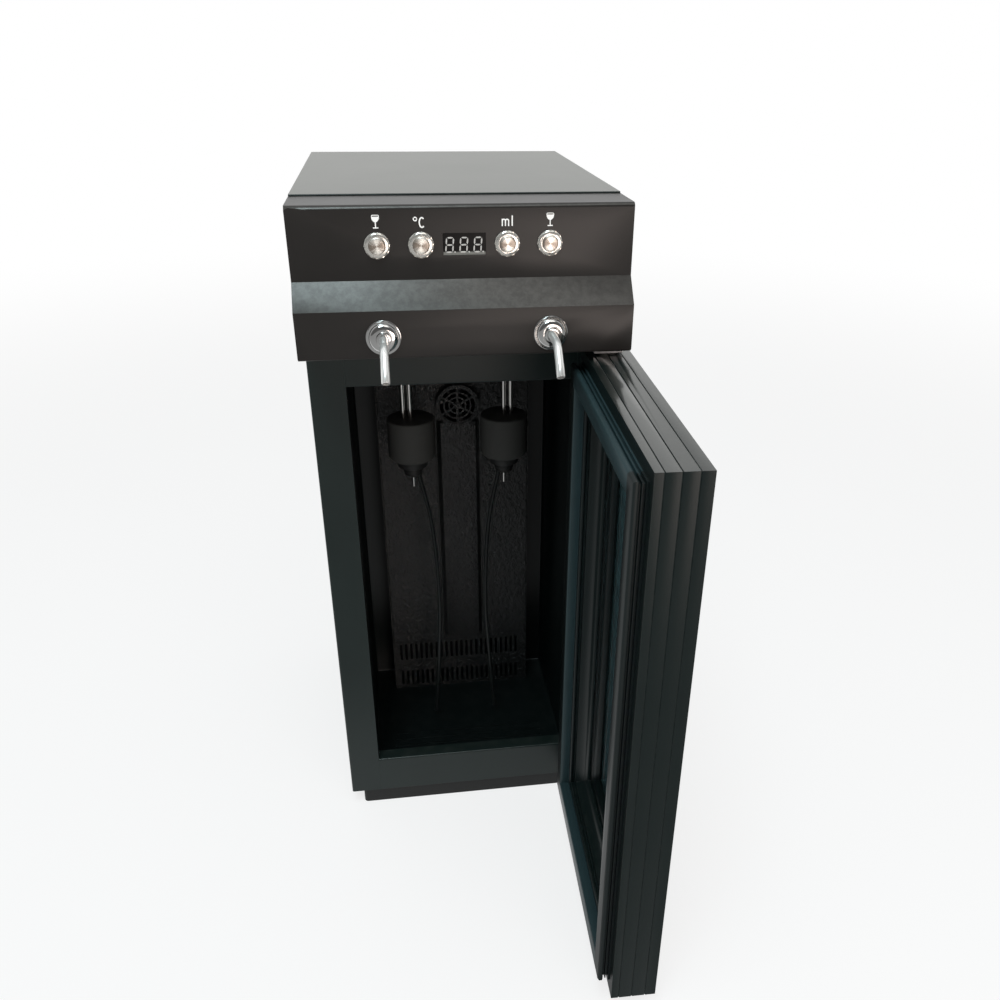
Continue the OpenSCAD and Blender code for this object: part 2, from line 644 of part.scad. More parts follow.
// Round tube swept along a list of points
function unit(v) = v / norm(v);
function heading(p, i) = unit(p[min(i + 1, len(p) - 1)] - p[max(i - 1, 0)]);
function swept_ring(p, i, r, n) = let (t = heading(p, i), a = unit(cross(t, [0, 1, 0])), b = cross(t, a))
    [for (k = [0 : n - 1]) p[i] + r * (cos(360 * k / n) * a + sin(360 * k / n) * b)];
module swept_tube(p, r, n = 8) {
    last = len(p) - 1;
    points = [for (i = [0 : last], v = swept_ring(p, i, r, n)) v];
    sides = [for (i = [0 : last - 1], k = [0 : n - 1], h = [0, 1])
        let (a = i * n + k, b = i * n + (k + 1) % n) h == 0 ? [a, b, b + n] : [a, b + n, a + n]];
    ends = [for (k = [1 : n - 2]) each [[0, k + 1, k], [last * n, last * n + k, last * n + k + 1]]];
    polyhedron(points = points, faces = concat(sides, ends));
}

// Plastic tube that hangs under the seal and bows inward
module dip_tube(s) color("#0f1011") swept_tube([for (p = dip_route)
    [s * (stopper_x - dip_in - p[0]), front + stopper_y + p[1], seal_tip - p[2]]], dip_r);
module dip_tube_left() dip_tube(-1);
module dip_tube_right() dip_tube(1);

// ---- Mains inlet and switch ----

rocker_z = mains_z + 12;
rocker_half = 9;
rocker_tilt = 9;

// Appliance inlet with three blades, and the pocket of its rocker switch above them
module mains_inlet() color(plastic) {
    difference() {
        union() {
            slab([mains_x - 16, mains_x + 16], [back, back + 2.5], [mains_z - 30, mains_z + 30]);
            slab([mains_x - inlet_half[0], mains_x + inlet_half[0]], [back - 24, back + 1],
                [mains_z - inlet_half[1], mains_z + inlet_half[1]]);
        }
        slab([mains_x - 12, mains_x + 12], [back - 14, back + 3], [mains_z - 20, mains_z - 4]);
        slab([mains_x - 6.8, mains_x + 6.8], [back - 14, back + 3],
            [rocker_z - rocker_half - 0.8, rocker_z + rocker_half + 0.8]);
        translate([mains_x, back - 4, rocker_z]) rotate([0, 90, 0]) cylinder(r = 1.55, h = 17.6, center = true);
    }
    for (x = [-7, 0, 7]) slab([mains_x + x - 1, mains_x + x + 1], [back - 15, back - 1],
        [mains_z - 14 + (x == 0 ? 2 : 0) - 2, mains_z - 14 + (x == 0 ? 2 : 0) + 2]);
}

// Paddle with a shallow valley across its face, and the axle that it rocks on
module rocker_switch() color("#0d0d0d") translate([mains_x, back - 4, rocker_z])
    rotate([rocker_tilt, 0, 0]) {
        along_x([-6.4, 6.4]) polygon([[-4, -3.5], [-4, 3.5], [1, rocker_half - 1.4], [5.2, rocker_half - 0.4],
            [3.2, 0], [5.2, -rocker_half + 0.4], [1, -rocker_half + 1.4]]);
        rotate([0, 90, 0]) cylinder(r = 1.5, h = 17.2, center = true);
    }

// ---- Door ----

// Swings a piece drawn in the shut place about the hinge pin
module swung() translate([pin_x, pin_y, 0]) rotate([0, 0, door_open]) translate([-pin_x, -pin_y, 0]) children();

// One bar of a frame: outline (inward from the edge, outward from the inner face), mitred at both ends
module mitred_bar(length, deep) intersection() {
    rotate(180, [1, 0, 1]) linear_extrude(length) children();
    translate([0, 60, 0]) rotate([90, 0, 0]) linear_extrude(120)
        polygon([[0, 0], [length, 0], [length - deep, deep], [deep, deep]]);
}
// Four bars round the door, from one outline
module mitred_frame(deep) translate([-half_w, door_in, door_z[0]]) {
    mitred_bar(door_w, deep) children();
    translate([0, 0, door_h]) mirror([0, 0, 1]) mitred_bar(door_w, deep) children();
    mirror([1, 0, 0]) rotate([0, -90, 0]) mitred_bar(door_h, deep) children();
    translate([door_w, 0, 0]) rotate([0, -90, 0]) mitred_bar(door_h, deep) children();
}

groove_v = [28, 17, 6.3];
// Frame bar: seal slot, glazing pocket, outer lip and three fine grooves round the edge
module frame_outline() polygon(concat([[0, 0], [16.5, 0], [16.5, 5], [19.5, 5], [19.5, 0], [rail_w, 0],
    [rail_w, door_t - 2], [lip_w, door_t - 2], [lip_w, door_t], [0, door_t]],
    [for (v = groove_v) each [[0, v + 0.8], [1, v], [0, v - 0.8]]]));
module door_frame() color(plastic) swung() difference() {
    mitred_frame(50) frame_outline();
    for (z = [door_z[0] - 1, door_z[1] - bush_l]) translate([pin_x, pin_y, z]) cylinder(r = bush_r, h = bush_l + 1);
}

// Bead that holds the glass in and slopes down to it
module glazing_trim() color(plastic) swung() mitred_frame(60) polygon([[26.8, -0.8], [33, -0.8], [43, 14],
    [45, inner_glass_v], [rail_w + 0.2, inner_glass_v], [rail_w + 0.2, 0], [26.8, 0]]);

module pane(v, t, edge) slab([-half_w + edge, half_w - edge], [door_in - v - t, door_in - v],
    [door_z[0] + edge, door_z[1] - edge]);
module outer_glass() color("#26343a") swung() pane(outer_glass_v, glass_t, rail_w + 0.3);
module inner_glass() color("#26343a") swung() pane(inner_glass_v, glass_t, rail_w + 0.3);
module glass_spacer() color("#3a3d40") swung() difference() {
    pane(inner_glass_v + glass_t, outer_glass_v - inner_glass_v - glass_t, rail_w + 0.3);
    pane(inner_glass_v, 30, lip_w + 1);
}

// Bellows seal: root in its slot, a foot, one fold, and the thick magnet strip that meets the frame
module door_gasket() color(rubber) swung() mitred_frame(50) polygon([[10, 0], [10, -1.3], [13, -1.3],
    [13, -2.4], [11, -2.9], [11, -3.7], [13, -4.2], [13, -5.1], [11, -5.1], [10, -6.1], [10, -8.4],
    [11.3, -9.7], [24.7, -9.7], [26, -8.4], [26, -6.1], [25, -5.1], [23, -5.1], [23, -4.2], [25, -3.7],
    [25, -2.9], [23, -2.4], [23, -1.3], [26, -1.3], [26, 0], [19.4, 0], [19.4, 4.8], [16.6, 4.8], [16.6, 0]]);

// Flanged bush in the end of the door
module bush() {
    linear_extrude(bush_l) ring(bush_r, pin_r + pin_gap);
    translate([0, 0, bush_l]) linear_extrude(1) ring(7, pin_r + pin_gap);
}
module hinge_bushes() color("#d8d6cf") {
    translate([pin_x, pin_y, door_z[1] - bush_l]) bush();
    translate([pin_x, pin_y, door_z[0] + bush_l]) mirror([0, 0, 1]) bush();
}

// Angle plate on the front frame, with the pin that stands up into the door
module bracket() difference() {
    union() {
        slab([bracket_x[0] + 8, bracket_x[1]], [pin_y - 12.5, front], [-plate_t, 0]);
        slab(bracket_x, [front - 2, front], [-plate_t, foot_h - plate_t]);
        translate([pin_x, pin_y, -0.5]) cylinder(r = pin_r, h = bush_l + hinge_gap);
    }
    for (x = hinge_screw_x) rod_y(x, 4, [front - 3, front + 1], 2.1);
}
module hinge_brackets() color(steel) {
    translate([0, 0, door_z[0] - hinge_gap]) bracket();
    translate([0, 0, door_z[1] + hinge_gap]) mirror([0, 0, 1]) bracket();
}

// Low-headed screw that points along -Y into a sheet at y
module screw(x, y, z, r, head, length) {
    rod_y(x, z, [y, y + 1.6], head);
    rod_y(x, z, [y - length, y + 0.2], r);
}
module hinge_screws() color(steel) for (x = hinge_screw_x, z = hinge_screw_z)
    mirror([0, 1, 0]) screw(x, 2 - front, z, screw_r, 3.4, 3.2);
module panel_screws() color(steel) {
    for (x = [-1, 1], z = screw_rows) screw(x * screw_x, back, z, screw_r, panel_head_r, 7);
    for (x = [-1, 1], z = [-1, 1]) screw(x * fan_hole, back + eye_t, fan_z + z * fan_hole, 1.8, 3.8, 14);
}

plinth_ring();
base_pan();
side_panel_left();
side_panel_right();
bottom_rail();
top_rail();
rear_panel();
top_cover();
fascia_shell();
head_tray();
liner();
insulation();
duct_cover();
cold_fan_frame();
cold_fan_rotor();
cold_sink();
peltier_module();
hot_sink();
hot_fan_frame();
hot_fan_rotor();
fan_guard();
power_supply();
control_board();
display_module();
button_bezels();
button_pour_left();
button_temperature();
button_volume();
button_pour_right();
spout_flange_left();
spout_flange_right();
spout_tube_left();
spout_tube_right();
wine_valve_left();
wine_valve_right();
gas_manifold();
gas_inlet();
head_hoses_left();
head_hoses_right();
ceiling_grommets();
stopper_left();
stopper_right();
stopper_seal_left();
stopper_seal_right();
line_tubes_left();
line_tubes_right();
dip_tube_left();
dip_tube_right();
mains_inlet();
rocker_switch();
door_frame();
glazing_trim();
outer_glass();
inner_glass();
glass_spacer();
door_gasket();
hinge_bushes();
hinge_brackets();
hinge_screws();
panel_screws();
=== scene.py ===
# %% [markdown]
# # A two-bottle wine preservation dispenser
#
# The real thing is a slim refrigerated steel cabinet for a bar top. Two opened bottles stand
# inside. Each is closed by a soft stopper that hangs on two rigid lines: one brings gas, the
# other takes wine up to a valve and a chrome spout on the bevelled head.
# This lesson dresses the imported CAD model: thin sheet gets its bends, plastic gets its seams,
# and every surface gets a finish with the grain and wear of the real one.

# %% Load the frame
import json
import math

import bmesh
import bpy
from mathutils import Matrix, Vector

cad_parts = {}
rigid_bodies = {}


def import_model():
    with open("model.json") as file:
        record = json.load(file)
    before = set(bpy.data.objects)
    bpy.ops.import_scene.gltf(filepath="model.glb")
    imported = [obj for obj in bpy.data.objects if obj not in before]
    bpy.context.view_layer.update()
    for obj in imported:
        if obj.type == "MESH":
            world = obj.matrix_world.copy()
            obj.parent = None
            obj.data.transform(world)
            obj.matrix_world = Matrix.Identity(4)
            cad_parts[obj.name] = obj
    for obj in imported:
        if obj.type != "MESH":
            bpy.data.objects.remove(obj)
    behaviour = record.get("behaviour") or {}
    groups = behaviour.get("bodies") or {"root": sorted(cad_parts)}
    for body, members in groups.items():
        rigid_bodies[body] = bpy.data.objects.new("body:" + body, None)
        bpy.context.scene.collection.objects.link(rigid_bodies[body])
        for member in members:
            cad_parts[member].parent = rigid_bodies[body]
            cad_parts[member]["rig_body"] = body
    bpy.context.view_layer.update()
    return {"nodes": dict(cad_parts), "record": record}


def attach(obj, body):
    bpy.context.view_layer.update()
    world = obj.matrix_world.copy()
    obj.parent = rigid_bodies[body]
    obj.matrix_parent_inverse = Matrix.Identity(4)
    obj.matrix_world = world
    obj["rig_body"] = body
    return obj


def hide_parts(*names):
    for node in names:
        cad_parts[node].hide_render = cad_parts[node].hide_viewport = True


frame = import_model()
slot_of = {part["node"]: part["material_slot"] for part in frame["record"]["subparts"]}


def mm(*values):
    """Millimetres, as the CAD source has them, in Blender's metres."""
    made = [v * 0.001 for v in values]
    return made[0] if len(made) == 1 else made


def put(name, data):
    """A new object in the scene that holds the data."""
    made = bpy.data.objects.new(name, data)
    bpy.context.scene.collection.objects.link(made)
    return made


# %% [markdown]
# ## The camera
# The photograph was taken by hand from above the left front corner of the door opening, with
# a slight tilt. The place, the three angles and the lens were fitted to straight edges of the
# cabinet, so that the render can be laid over the photograph. The small lens shift only
# keeps the photograph's framing.

# %% Camera
CAMERA_AT = Vector(mm(-55.82, -883.66, 700.11))
YAW, PITCH, ROLL = (math.radians(angle) for angle in (8.79, 28.86, -0.72))


def camera_axes(yaw, pitch, roll):
    """Rotation whose columns are the camera's right, up and backward directions."""
    right = Vector((math.cos(yaw), -math.sin(yaw), 0))
    ahead = Vector((math.sin(yaw) * math.cos(pitch), math.cos(yaw) * math.cos(pitch), -math.sin(pitch)))
    down = ahead.cross(right)
    rolled_right = math.cos(roll) * right + math.sin(roll) * down
    rolled_down = math.cos(roll) * down - math.sin(roll) * right
    return Matrix((rolled_right, -rolled_down, -ahead)).transposed()


lens = bpy.data.cameras.new("camera")
lens.sensor_width = 36
lens.lens = 33.213
lens.shift_x = -0.030
lens.shift_y = 0.050
lens.clip_start = 0.01
camera = put("camera", lens)
camera.matrix_world = Matrix.Translation(CAMERA_AT) @ camera_axes(YAW, PITCH, ROLL).to_4x4()
bpy.context.scene.camera = camera
print("camera at", tuple(camera.location))

# %% [markdown]
# ## Nodes from Python
# Materials and Geometry Nodes are both node trees. One small class adds nodes to a tree: it
# takes a node's type, its settings and the values or links of its sockets. A second wraps an
# output socket and overloads the arithmetic signs, so that shader maths reads as a formula.
# Writing each node by hand would work too, but hides the formula among the links.

# %% Wire and Graph


class Wire:
    """An output socket that takes part in sums."""

    def __init__(self, graph, socket):
        self.graph, self.socket = graph, socket

    def _math(self, operation, *terms):
        return self.graph.add("ShaderNodeMath", dict(enumerate(terms)), operation=operation)

    def __rsub__(self, other):
        return self._math("SUBTRACT", other, self)

    def __abs__(self):
        return self._math("ABSOLUTE", self)

    def sine(self):
        return self._math("SINE", self)

    def limited(self):
        """The value kept between 0 and 1."""
        return self.graph.add("ShaderNodeClamp", {0: self})

    def between(self, low, high):
        """0 below low and 1 above high, with a smooth step."""
        return self.graph.add("ShaderNodeMapRange", {0: self, 1: low, 2: high, 3: 0.0, 4: 1.0},
                              interpolation_type="SMOOTHSTEP")


SIGNS = {"__add__": "ADD", "__radd__": "ADD", "__sub__": "SUBTRACT", "__mul__": "MULTIPLY",
         "__rmul__": "MULTIPLY", "__truediv__": "DIVIDE", "__pow__": "POWER"}
for sign, operation in SIGNS.items():
    setattr(Wire, sign, lambda self, other, name=operation: self._math(name, self, other))


class Graph:
    """Adds nodes to a tree and links them."""

    def __init__(self, tree):
        self.tree = tree

    def join(self, value, socket):
        if isinstance(value, Wire):
            self.tree.links.new(value.socket, socket)
        else:
            socket.default_value = value

    def add(self, kind, values=None, out=0, **settings):
        """A node with values or links on its sockets, and settings such as its operation."""
        node = self.tree.nodes.new(kind)
        for key, value in settings.items():
            setattr(node, key, value)
        for key, value in (values or {}).items():
            self.join(value, node.inputs[key])
        return Wire(self, node.outputs[out]) if node.outputs else None

    def parts(self, vector):
        """The three numbers of a vector."""
        node = self.tree.nodes.new("ShaderNodeSeparateXYZ")
        self.join(vector, node.inputs[0])
        return [Wire(self, socket) for socket in node.outputs]


print("node helpers are ready")

# %% [markdown]
# ## Finishes
# A finish is one Principled shader and what varies over its surface. All patterns are read in
# object coordinates, which are metres here, so a grain of half a millimetre is half a
# millimetre on every piece. Edges catch wear: the Bevel node gives a rounded normal near an
# edge, and where it departs from the true normal, the coat is thinner and a little paler.

# %% Finish


class Finish(Graph):
    """One material: constants go straight on the shader's sockets."""

    def __init__(self, name, **constants):
        self.material = bpy.data.materials.new(name)
        self.material.use_nodes = True
        super().__init__(self.material.node_tree)
        self.tree.nodes.clear()
        self.shader = self.tree.nodes.new("ShaderNodeBsdfPrincipled")
        output = self.tree.nodes.new("ShaderNodeOutputMaterial")
        self.tree.links.new(self.shader.outputs[0], output.inputs[0])
        for key, value in constants.items():
            self.shader.inputs[key.replace("_", " ")].default_value = value
        self.place = self.add("ShaderNodeTexCoord", out=3)

    def set(self, **values):
        for key, value in values.items():
            self.join(value, self.shader.inputs[key.replace("_", " ")])
        return self

    def stretched(self, scale, turn=(0, 0, 0), centre=(0, 0, 0)):
        """Coordinates moved to a centre, turned and scaled."""
        moved = self.add("ShaderNodeVectorMath", {0: self.place, 1: centre}, operation="SUBTRACT")
        return self.add("ShaderNodeMapping", {"Vector": moved, "Rotation": turn, "Scale": scale})

    def noise(self, size, detail=2, place=None, rough=0.5):
        """Soft noise whose blotches are about size millimetres wide."""
        return self.add("ShaderNodeTexNoise", {"Vector": place or self.place, "Scale": 1000 / size,
                                                   "Detail": detail, "Roughness": rough})

    def streaks(self, along):
        """Noise that varies along one number only."""
        return self.add("ShaderNodeTexNoise", {"W": along, "Scale": 1.0, "Detail": 2}, noise_dimensions="1D")

    def blend(self, mask, low, high):
        """Colour low where the mask is 0, and high where it is 1."""
        return self.add("ShaderNodeMix", {0: mask, 6: low, 7: high}, data_type="RGBA", out=2)

    def edge_wear(self, radius):
        """1 along edges and 0 on flats."""
        rounded = self.add("ShaderNodeBevel", {"Radius": mm(radius)}, samples=4)
        plain = self.add("ShaderNodeNewGeometry", out=1)
        same = self.add("ShaderNodeVectorMath", {0: rounded, 1: plain}, operation="DOT_PRODUCT", out=1)
        return ((1 - same) * 5).limited()

    def facing_up(self):
        """1 on faces that look up, where dust settles and where part of the sheen is painted in."""
        return self.parts(self.add("ShaderNodeNewGeometry", out=1))[2].between(0.6, 1.0)

    def bump(self, height, depth):
        """A normal for relief of that depth in millimetres."""
        return self.add("ShaderNodeBump", {"Height": height, "Distance": mm(depth), "Strength": 1.0})


def shade(colour, factor=1.0):
    """A colour for a socket, made lighter or darker."""
    return (*[min(1, c * factor) for c in colour], 1)


print("finish class is ready")

# %% [markdown]
# ## Paint and plastic
# Powder paint dries with a faint orange peel, and moulded or extruded plastic has a finer,
# duller grain. Both are one recipe with different numbers: a base colour that drifts a
# little, a roughness that drifts with it, two sizes of bump, worn edges, and on top a pale
# blend that is partly dust and partly a painted sheen.

# %% Coats
PEEL_PER_GRAIN = 9
PIN = Vector(mm(114, -178.5, 0))
DOOR_OPEN = math.radians(88.4)
DOOR_HALF_W, DOOR_HALF_H, DOOR_MID_Z = mm(125, 234, 251)


def coat(name, colour, rough, grain, depth, dust_and_sheen_share=0.05, wear=0.3, level=0.3, polish=0.0):
    """Paint or plastic: grain and its depth in millimetres, and how polished its upper faces are."""
    made = Finish(name, Specular_IOR_Level=level, Coat_Roughness=0.3, Coat_Tint=(1, 1, 0.93, 1))
    drift = made.noise(70, 3)
    fine = made.noise(grain, 2)
    peel = made.noise(grain * PEEL_PER_GRAIN, 2)
    edges = made.edge_wear(0.8) * made.noise(6, 3).between(0.3, 0.7) * wear
    # Upper faces are blended toward pale grey: partly dust, partly a painted sheen.
    dust_and_sheen = made.facing_up() * made.noise(14, 4, rough=0.65).between(0.42, 0.72) * dust_and_sheen_share
    body = made.blend(drift, shade(colour, 0.8), shade(colour, 1.2))
    worn = made.blend(edges, body, shade(colour, 5))
    with_dust_and_sheen = made.blend(dust_and_sheen, worn, (0.22, 0.22, 0.2, 1))
    relief = fine * 0.5 + peel
    if polish:
        made.set(Coat_Weight=made.facing_up() * (polish * 0.8 + drift * polish * 0.4))
    return made.set(Base_Color=with_dust_and_sheen,
                    Roughness=(rough - 0.05 + drift * 0.1 + dust_and_sheen * 0.3 + edges * 0.1).limited(),
                    Normal=made.bump(relief, depth))


def head_paint():
    """The head's coat is the same, but its bevel has a glossier, mottled surface."""
    made = coat("head_powder_paint", (0.0182, 0.0162, 0.015), 0.33, 0.45, 0.014, level=0.27)
    slope = made.parts(made.add("ShaderNodeNewGeometry", out=1))[2]
    bevel = slope.between(0.3, 0.55) * (1 - slope.between(0.72, 0.9))
    mottle = made.noise(6, 5, rough=0.75).between(0.3, 0.7)
    return made.set(Coat_Weight=bevel * (0.5 + mottle * 0.5))


def display_black():
    """Near-black resin, with the paler rim of its case along the lower edge."""
    made = coat("display_black", (0.002, 0.002, 0.0022), 0.3, 0.8, 0.003, wear=0.1, level=0.12)
    rim = 1 - made.parts(made.place)[2].between(mm(565.7), mm(566.5))
    speckle = made.noise(1.2, 2)
    return made.set(Base_Color=made.blend(rim * (0.7 + speckle * 0.3), (0.002, 0.002, 0.0022, 1),
                                          (0.2, 0.2, 0.185, 1)))


def speckled_plate():
    """The duct cover's sheet is stucco embossed: besides its dents it has a fine sharp speckle."""
    made = coat("duct_cover_sheet", (0.007, 0.0082, 0.0082), 0.16, 0.6, 0.02, dust_and_sheen_share=0.02, wear=0.5, level=0.9)
    speckle = made.noise(1.6, 3, rough=0.6).between(0.35, 0.7) + made.noise(4.5, 2).between(0.3, 0.7) * 1.5
    return made.set(Normal=made.bump(speckle, 0.42))


def on_shut_door(made):
    """A point's distance from the shut door's nearer side and from its nearer end."""
    x, _, z = made.parts(made.stretched((1, 1, 1), (0, 0, -DOOR_OPEN), tuple(PIN)))
    return DOOR_HALF_W - abs(x + PIN.x), DOOR_HALF_H - abs(z - DOOR_MID_Z)


def seal_rubber():
    """Black seal rubber whose upright inner walls carry a painted sheen: a paler, bluish band."""
    made = coat("gasket_rubber", (0.0055, 0.0105, 0.0108), 0.4, 0.6, 0.012, wear=0.5)
    from_side, _ = on_shut_door(made)
    painted_sheen_band = from_side.between(mm(25.2), mm(25.8)) * (0.8 + made.noise(18, 3) * 0.4)
    # The paler bluish colour on the inner wall is a painted sheen, not the rubber's own colour.
    return made.set(Base_Color=made.blend(painted_sheen_band, (0.0055, 0.0105, 0.0108, 1), (0.024, 0.045, 0.05, 1)))


finishes = {
    "cabinet_paint": coat("cabinet_powder_paint", (0.0095, 0.0165, 0.0155), 0.34, 0.5, 0.012, polish=0.5),
    "head_paint": head_paint(),
    "plinth_plastic": coat("plinth_plastic", (0.008, 0.009, 0.009), 0.55, 0.7, 0.02),
    "liner_plastic": coat("liner_plastic", (0.004, 0.0068, 0.0068), 0.3, 0.9, 0.02, dust_and_sheen_share=0.02, wear=0.1),
    "duct_plate": speckled_plate(),
    "fan_plastic": coat("fan_plastic", (0.009, 0.009, 0.009), 0.5, 0.6, 0.01),
    "inlet_plastic": coat("inlet_plastic", (0.009, 0.009, 0.009), 0.36, 0.5, 0.01),
    "stopper_rubber": coat("stopper_foam_rubber", (0.038, 0.039, 0.037), 0.78, 0.35, 0.04,
                           dust_and_sheen_share=0.12, wear=0.5),
    "seal_rubber": coat("seal_rubber", (0.014, 0.015, 0.015), 0.5, 0.5, 0.012, wear=0.4),
    "grommet_rubber": coat("grommet_rubber", (0.012, 0.012, 0.012), 0.6, 0.5, 0.015),
    "gasket_rubber": seal_rubber(),
    "dip_plastic": coat("dip_tube_plastic", (0.009, 0.011, 0.011), 0.3, 0.8, 0.008, wear=0.0),
    "bush_nylon": coat("bush_nylon", (0.7, 0.69, 0.64), 0.45, 0.6, 0.008, wear=0.0),
    "foam": coat("insulation_foam", (0.72, 0.68, 0.55), 0.85, 0.5, 0.08, wear=0.0),
    "cell_ceramic": coat("cell_ceramic", (0.8, 0.8, 0.77), 0.5, 0.4, 0.004, wear=0.0),
    "display_block": display_black(),
}
print(len(finishes), "coats")

# %% [markdown]
# ## Extruded door frame
# The door is framed in black plastic profile, cut at 45 degrees and welded at its corners. The
# material is worked out in the shut door's own place, because the bars lie square there: the
# die's fine lines run along each bar, and where a point is as far from the side as from the
# end, it lies on the weld seam.

# %% Door plastic


def door_plastic():
    made = Finish("door_profile_plastic", Specular_IOR_Level=0.19, Coat_Roughness=0.16,
                  Coat_Tint=(1, 1, 0.95, 1))
    from_side, from_end = on_shut_door(made)
    seam = 1 - abs(from_side - from_end).between(mm(0.08), mm(0.3))
    on_side_bar = (from_end - from_side).between(0, mm(0.2))
    depth = on_side_bar * from_side + (1 - on_side_bar) * from_end
    lines = made.streaks(depth * 1400)
    drift = made.noise(60, 3)
    edges = made.edge_wear(0.9) * made.noise(5, 3).between(0.3, 0.7) * 0.35
    # As in coat: the pale blend on upper faces is partly dust, partly a painted sheen.
    dust_and_sheen = made.facing_up() * made.noise(12, 4, rough=0.65).between(0.4, 0.72) * 0.04
    body = made.blend(drift, (0.0052, 0.0098, 0.0098, 1), (0.0076, 0.0128, 0.0124, 1))
    worn = made.blend(edges, body, (0.05, 0.055, 0.055, 1))
    with_dust_and_sheen = made.blend(dust_and_sheen, worn, (0.2, 0.2, 0.185, 1))
    seamed = made.blend(seam * 0.8, with_dust_and_sheen, (0.004, 0.005, 0.005, 1))
    relief = lines * 0.35 + made.noise(0.5, 2) * 0.4 - seam * 3
    return made.set(Base_Color=seamed, Roughness=(0.27 + drift * 0.1 + dust_and_sheen * 0.3).limited(),
                    Coat_Weight=made.facing_up() * 0.65,
                    Normal=made.bump(relief, 0.012))


finishes["door_plastic"] = door_plastic()
print("door profile finish is ready")

# %% [markdown]
# ## Metals
# Rolled and brushed metal carries fine scratches in one direction, so its noise is squeezed
# along that direction. Plating is smooth and only shows finger marks in its roughness.

# %% Metal finishes


def metal(name, colour, rough, lines=(400, 400, 400), depth=0.002, marks=0.08, mirror=1.0):
    """Bare or plated metal: lines is the grain's repeats per metre, mirror falls where it is satin."""
    made = Finish(name, Metallic=mirror)
    grain = made.noise(1000, 3, made.stretched(lines))
    smears = made.noise(9, 4, rough=0.6)
    tint = made.blend(made.noise(25, 2), shade(colour, 0.9), shade(colour, 1.05))
    return made.set(Base_Color=tint, Normal=made.bump(grain, depth),
                    Roughness=(rough + smears * marks + grain * 0.06 - marks * 0.4).limited())


finishes.update({
    "chrome": metal("rosette_chrome", (0.62, 0.62, 0.61), 0.06, depth=0.0006, marks=0.06),
    "satin_chrome": metal("spout_satin_chrome", (0.86, 0.86, 0.84), 0.2, (600, 600, 600), 0.0002, 0.06, 0.6),
    "chrome_wire": metal("guard_wire", (0.7, 0.7, 0.7), 0.16),
    "line_steel": metal("line_steel", (0.78, 0.77, 0.75), 0.14, (300, 300, 3000)),
    "button_steel": metal("bezel_steel", (0.74, 0.72, 0.67), 0.16, (900, 900, 900), 0.002, 0.1, 0.8),
    "zinc_sheet": metal("zinc_sheet", (0.55, 0.56, 0.57), 0.38, (60, 2500, 60), 0.004, 0.2),
    "hinge_steel": metal("hinge_steel", (0.5, 0.51, 0.52), 0.3, (120, 3000, 120), 0.004, 0.15),
    "screw_steel": metal("screw_steel", (0.33, 0.34, 0.35), 0.3, (900, 900, 900), 0.003, 0.15),
    "sink_aluminium": metal("sink_aluminium", (0.72, 0.73, 0.74), 0.36, (2500, 60, 60), 0.004, 0.12),
    "supply_case": metal("supply_case", (0.55, 0.56, 0.57), 0.34, (60, 60, 2500), 0.004, 0.12),
    "spacer_metal": metal("glazing_spacer", (0.12, 0.125, 0.13), 0.36, (60, 60, 2500), 0.003, 0.1),
    "valve_brass": metal("valve_brass", (0.66, 0.5, 0.22), 0.26, (500, 500, 500), 0.003, 0.15),
})
print("metals:", sum(f.shader.inputs["Metallic"].default_value > 0.5 for f in finishes.values()))

# %% [markdown]
# ## Spun button caps
# Each cap was faced on a lathe, which leaves rings that turn a lamp's reflection into bright
# fans above and below the middle. Those fans are drawn in the colour, since so small a ring
# pattern would not show, and the rings themselves in the bump. Both need the distance to the
# cap's own centre. The four caps stand in a row, two on each side of the middle, so folding
# the row over twice brings them together.

# %% Spun steel
BUTTON_Z = 0.5715
BUTTON_X = mm(31.2, 62.5)
UPPER_Y = -0.1945
LOWER_Y = -0.2095


def spun_steel():
    made = Finish("spun_cap_steel", Metallic=0.55)
    x, _, z = made.parts(made.place)
    middle, half_gap = sum(BUTTON_X) / 2, (BUTTON_X[1] - BUTTON_X[0]) / 2
    across = abs(abs(x) - middle) - half_gap
    up = z - BUTTON_Z
    radius = (across * across + up * up) ** 0.5
    rings = (radius * (math.tau / mm(0.22))).sine()
    uneven = made.streaks(radius * 5000)
    turn = made.add("ShaderNodeMath", {0: up, 1: across}, operation="ARCTAN2")
    fans = abs((turn + made.streaks(turn * 4 + x * 300) * 1.1 - 0.4).sine())
    tone = made.blend((fans ** 3).limited(), (0.24, 0.2, 0.165, 1), (0.92, 0.89, 0.82, 1))
    return made.set(Base_Color=tone, Roughness=(0.2 + uneven * 0.12).limited(),
                    Normal=made.bump(rings * 0.5 + uneven, 0.006))


finishes["spun_steel"] = spun_steel()
print("spun cap finish is ready")

# %% [markdown]
# ## Glass, hose, board and print
# The door's two panes are dark tinted float glass. The hoses in the head are clear silicone,
# the board is green laminate with tinned tracks, and the marks on the head are white ink.

# %% Glass and the other finishes


def glass():
    made = Finish("tinted_glass", IOR=1.5, Transmission_Weight=1.0)
    smears = made.noise(30, 4, rough=0.6).between(0.5, 0.8)
    return made.set(Base_Color=made.blend(smears, (0.17, 0.25, 0.26, 1), (0.2, 0.27, 0.28, 1)),
                    Roughness=0.01 + smears * 0.03)


def hose():
    made = Finish("clear_silicone", IOR=1.41, Transmission_Weight=0.75)
    cloud = made.noise(8, 3)
    return made.set(Base_Color=made.blend(cloud, (0.82, 0.84, 0.84, 1), (0.92, 0.93, 0.93, 1)),
                    Roughness=0.12 + cloud * 0.15, Normal=made.bump(cloud, 0.01))


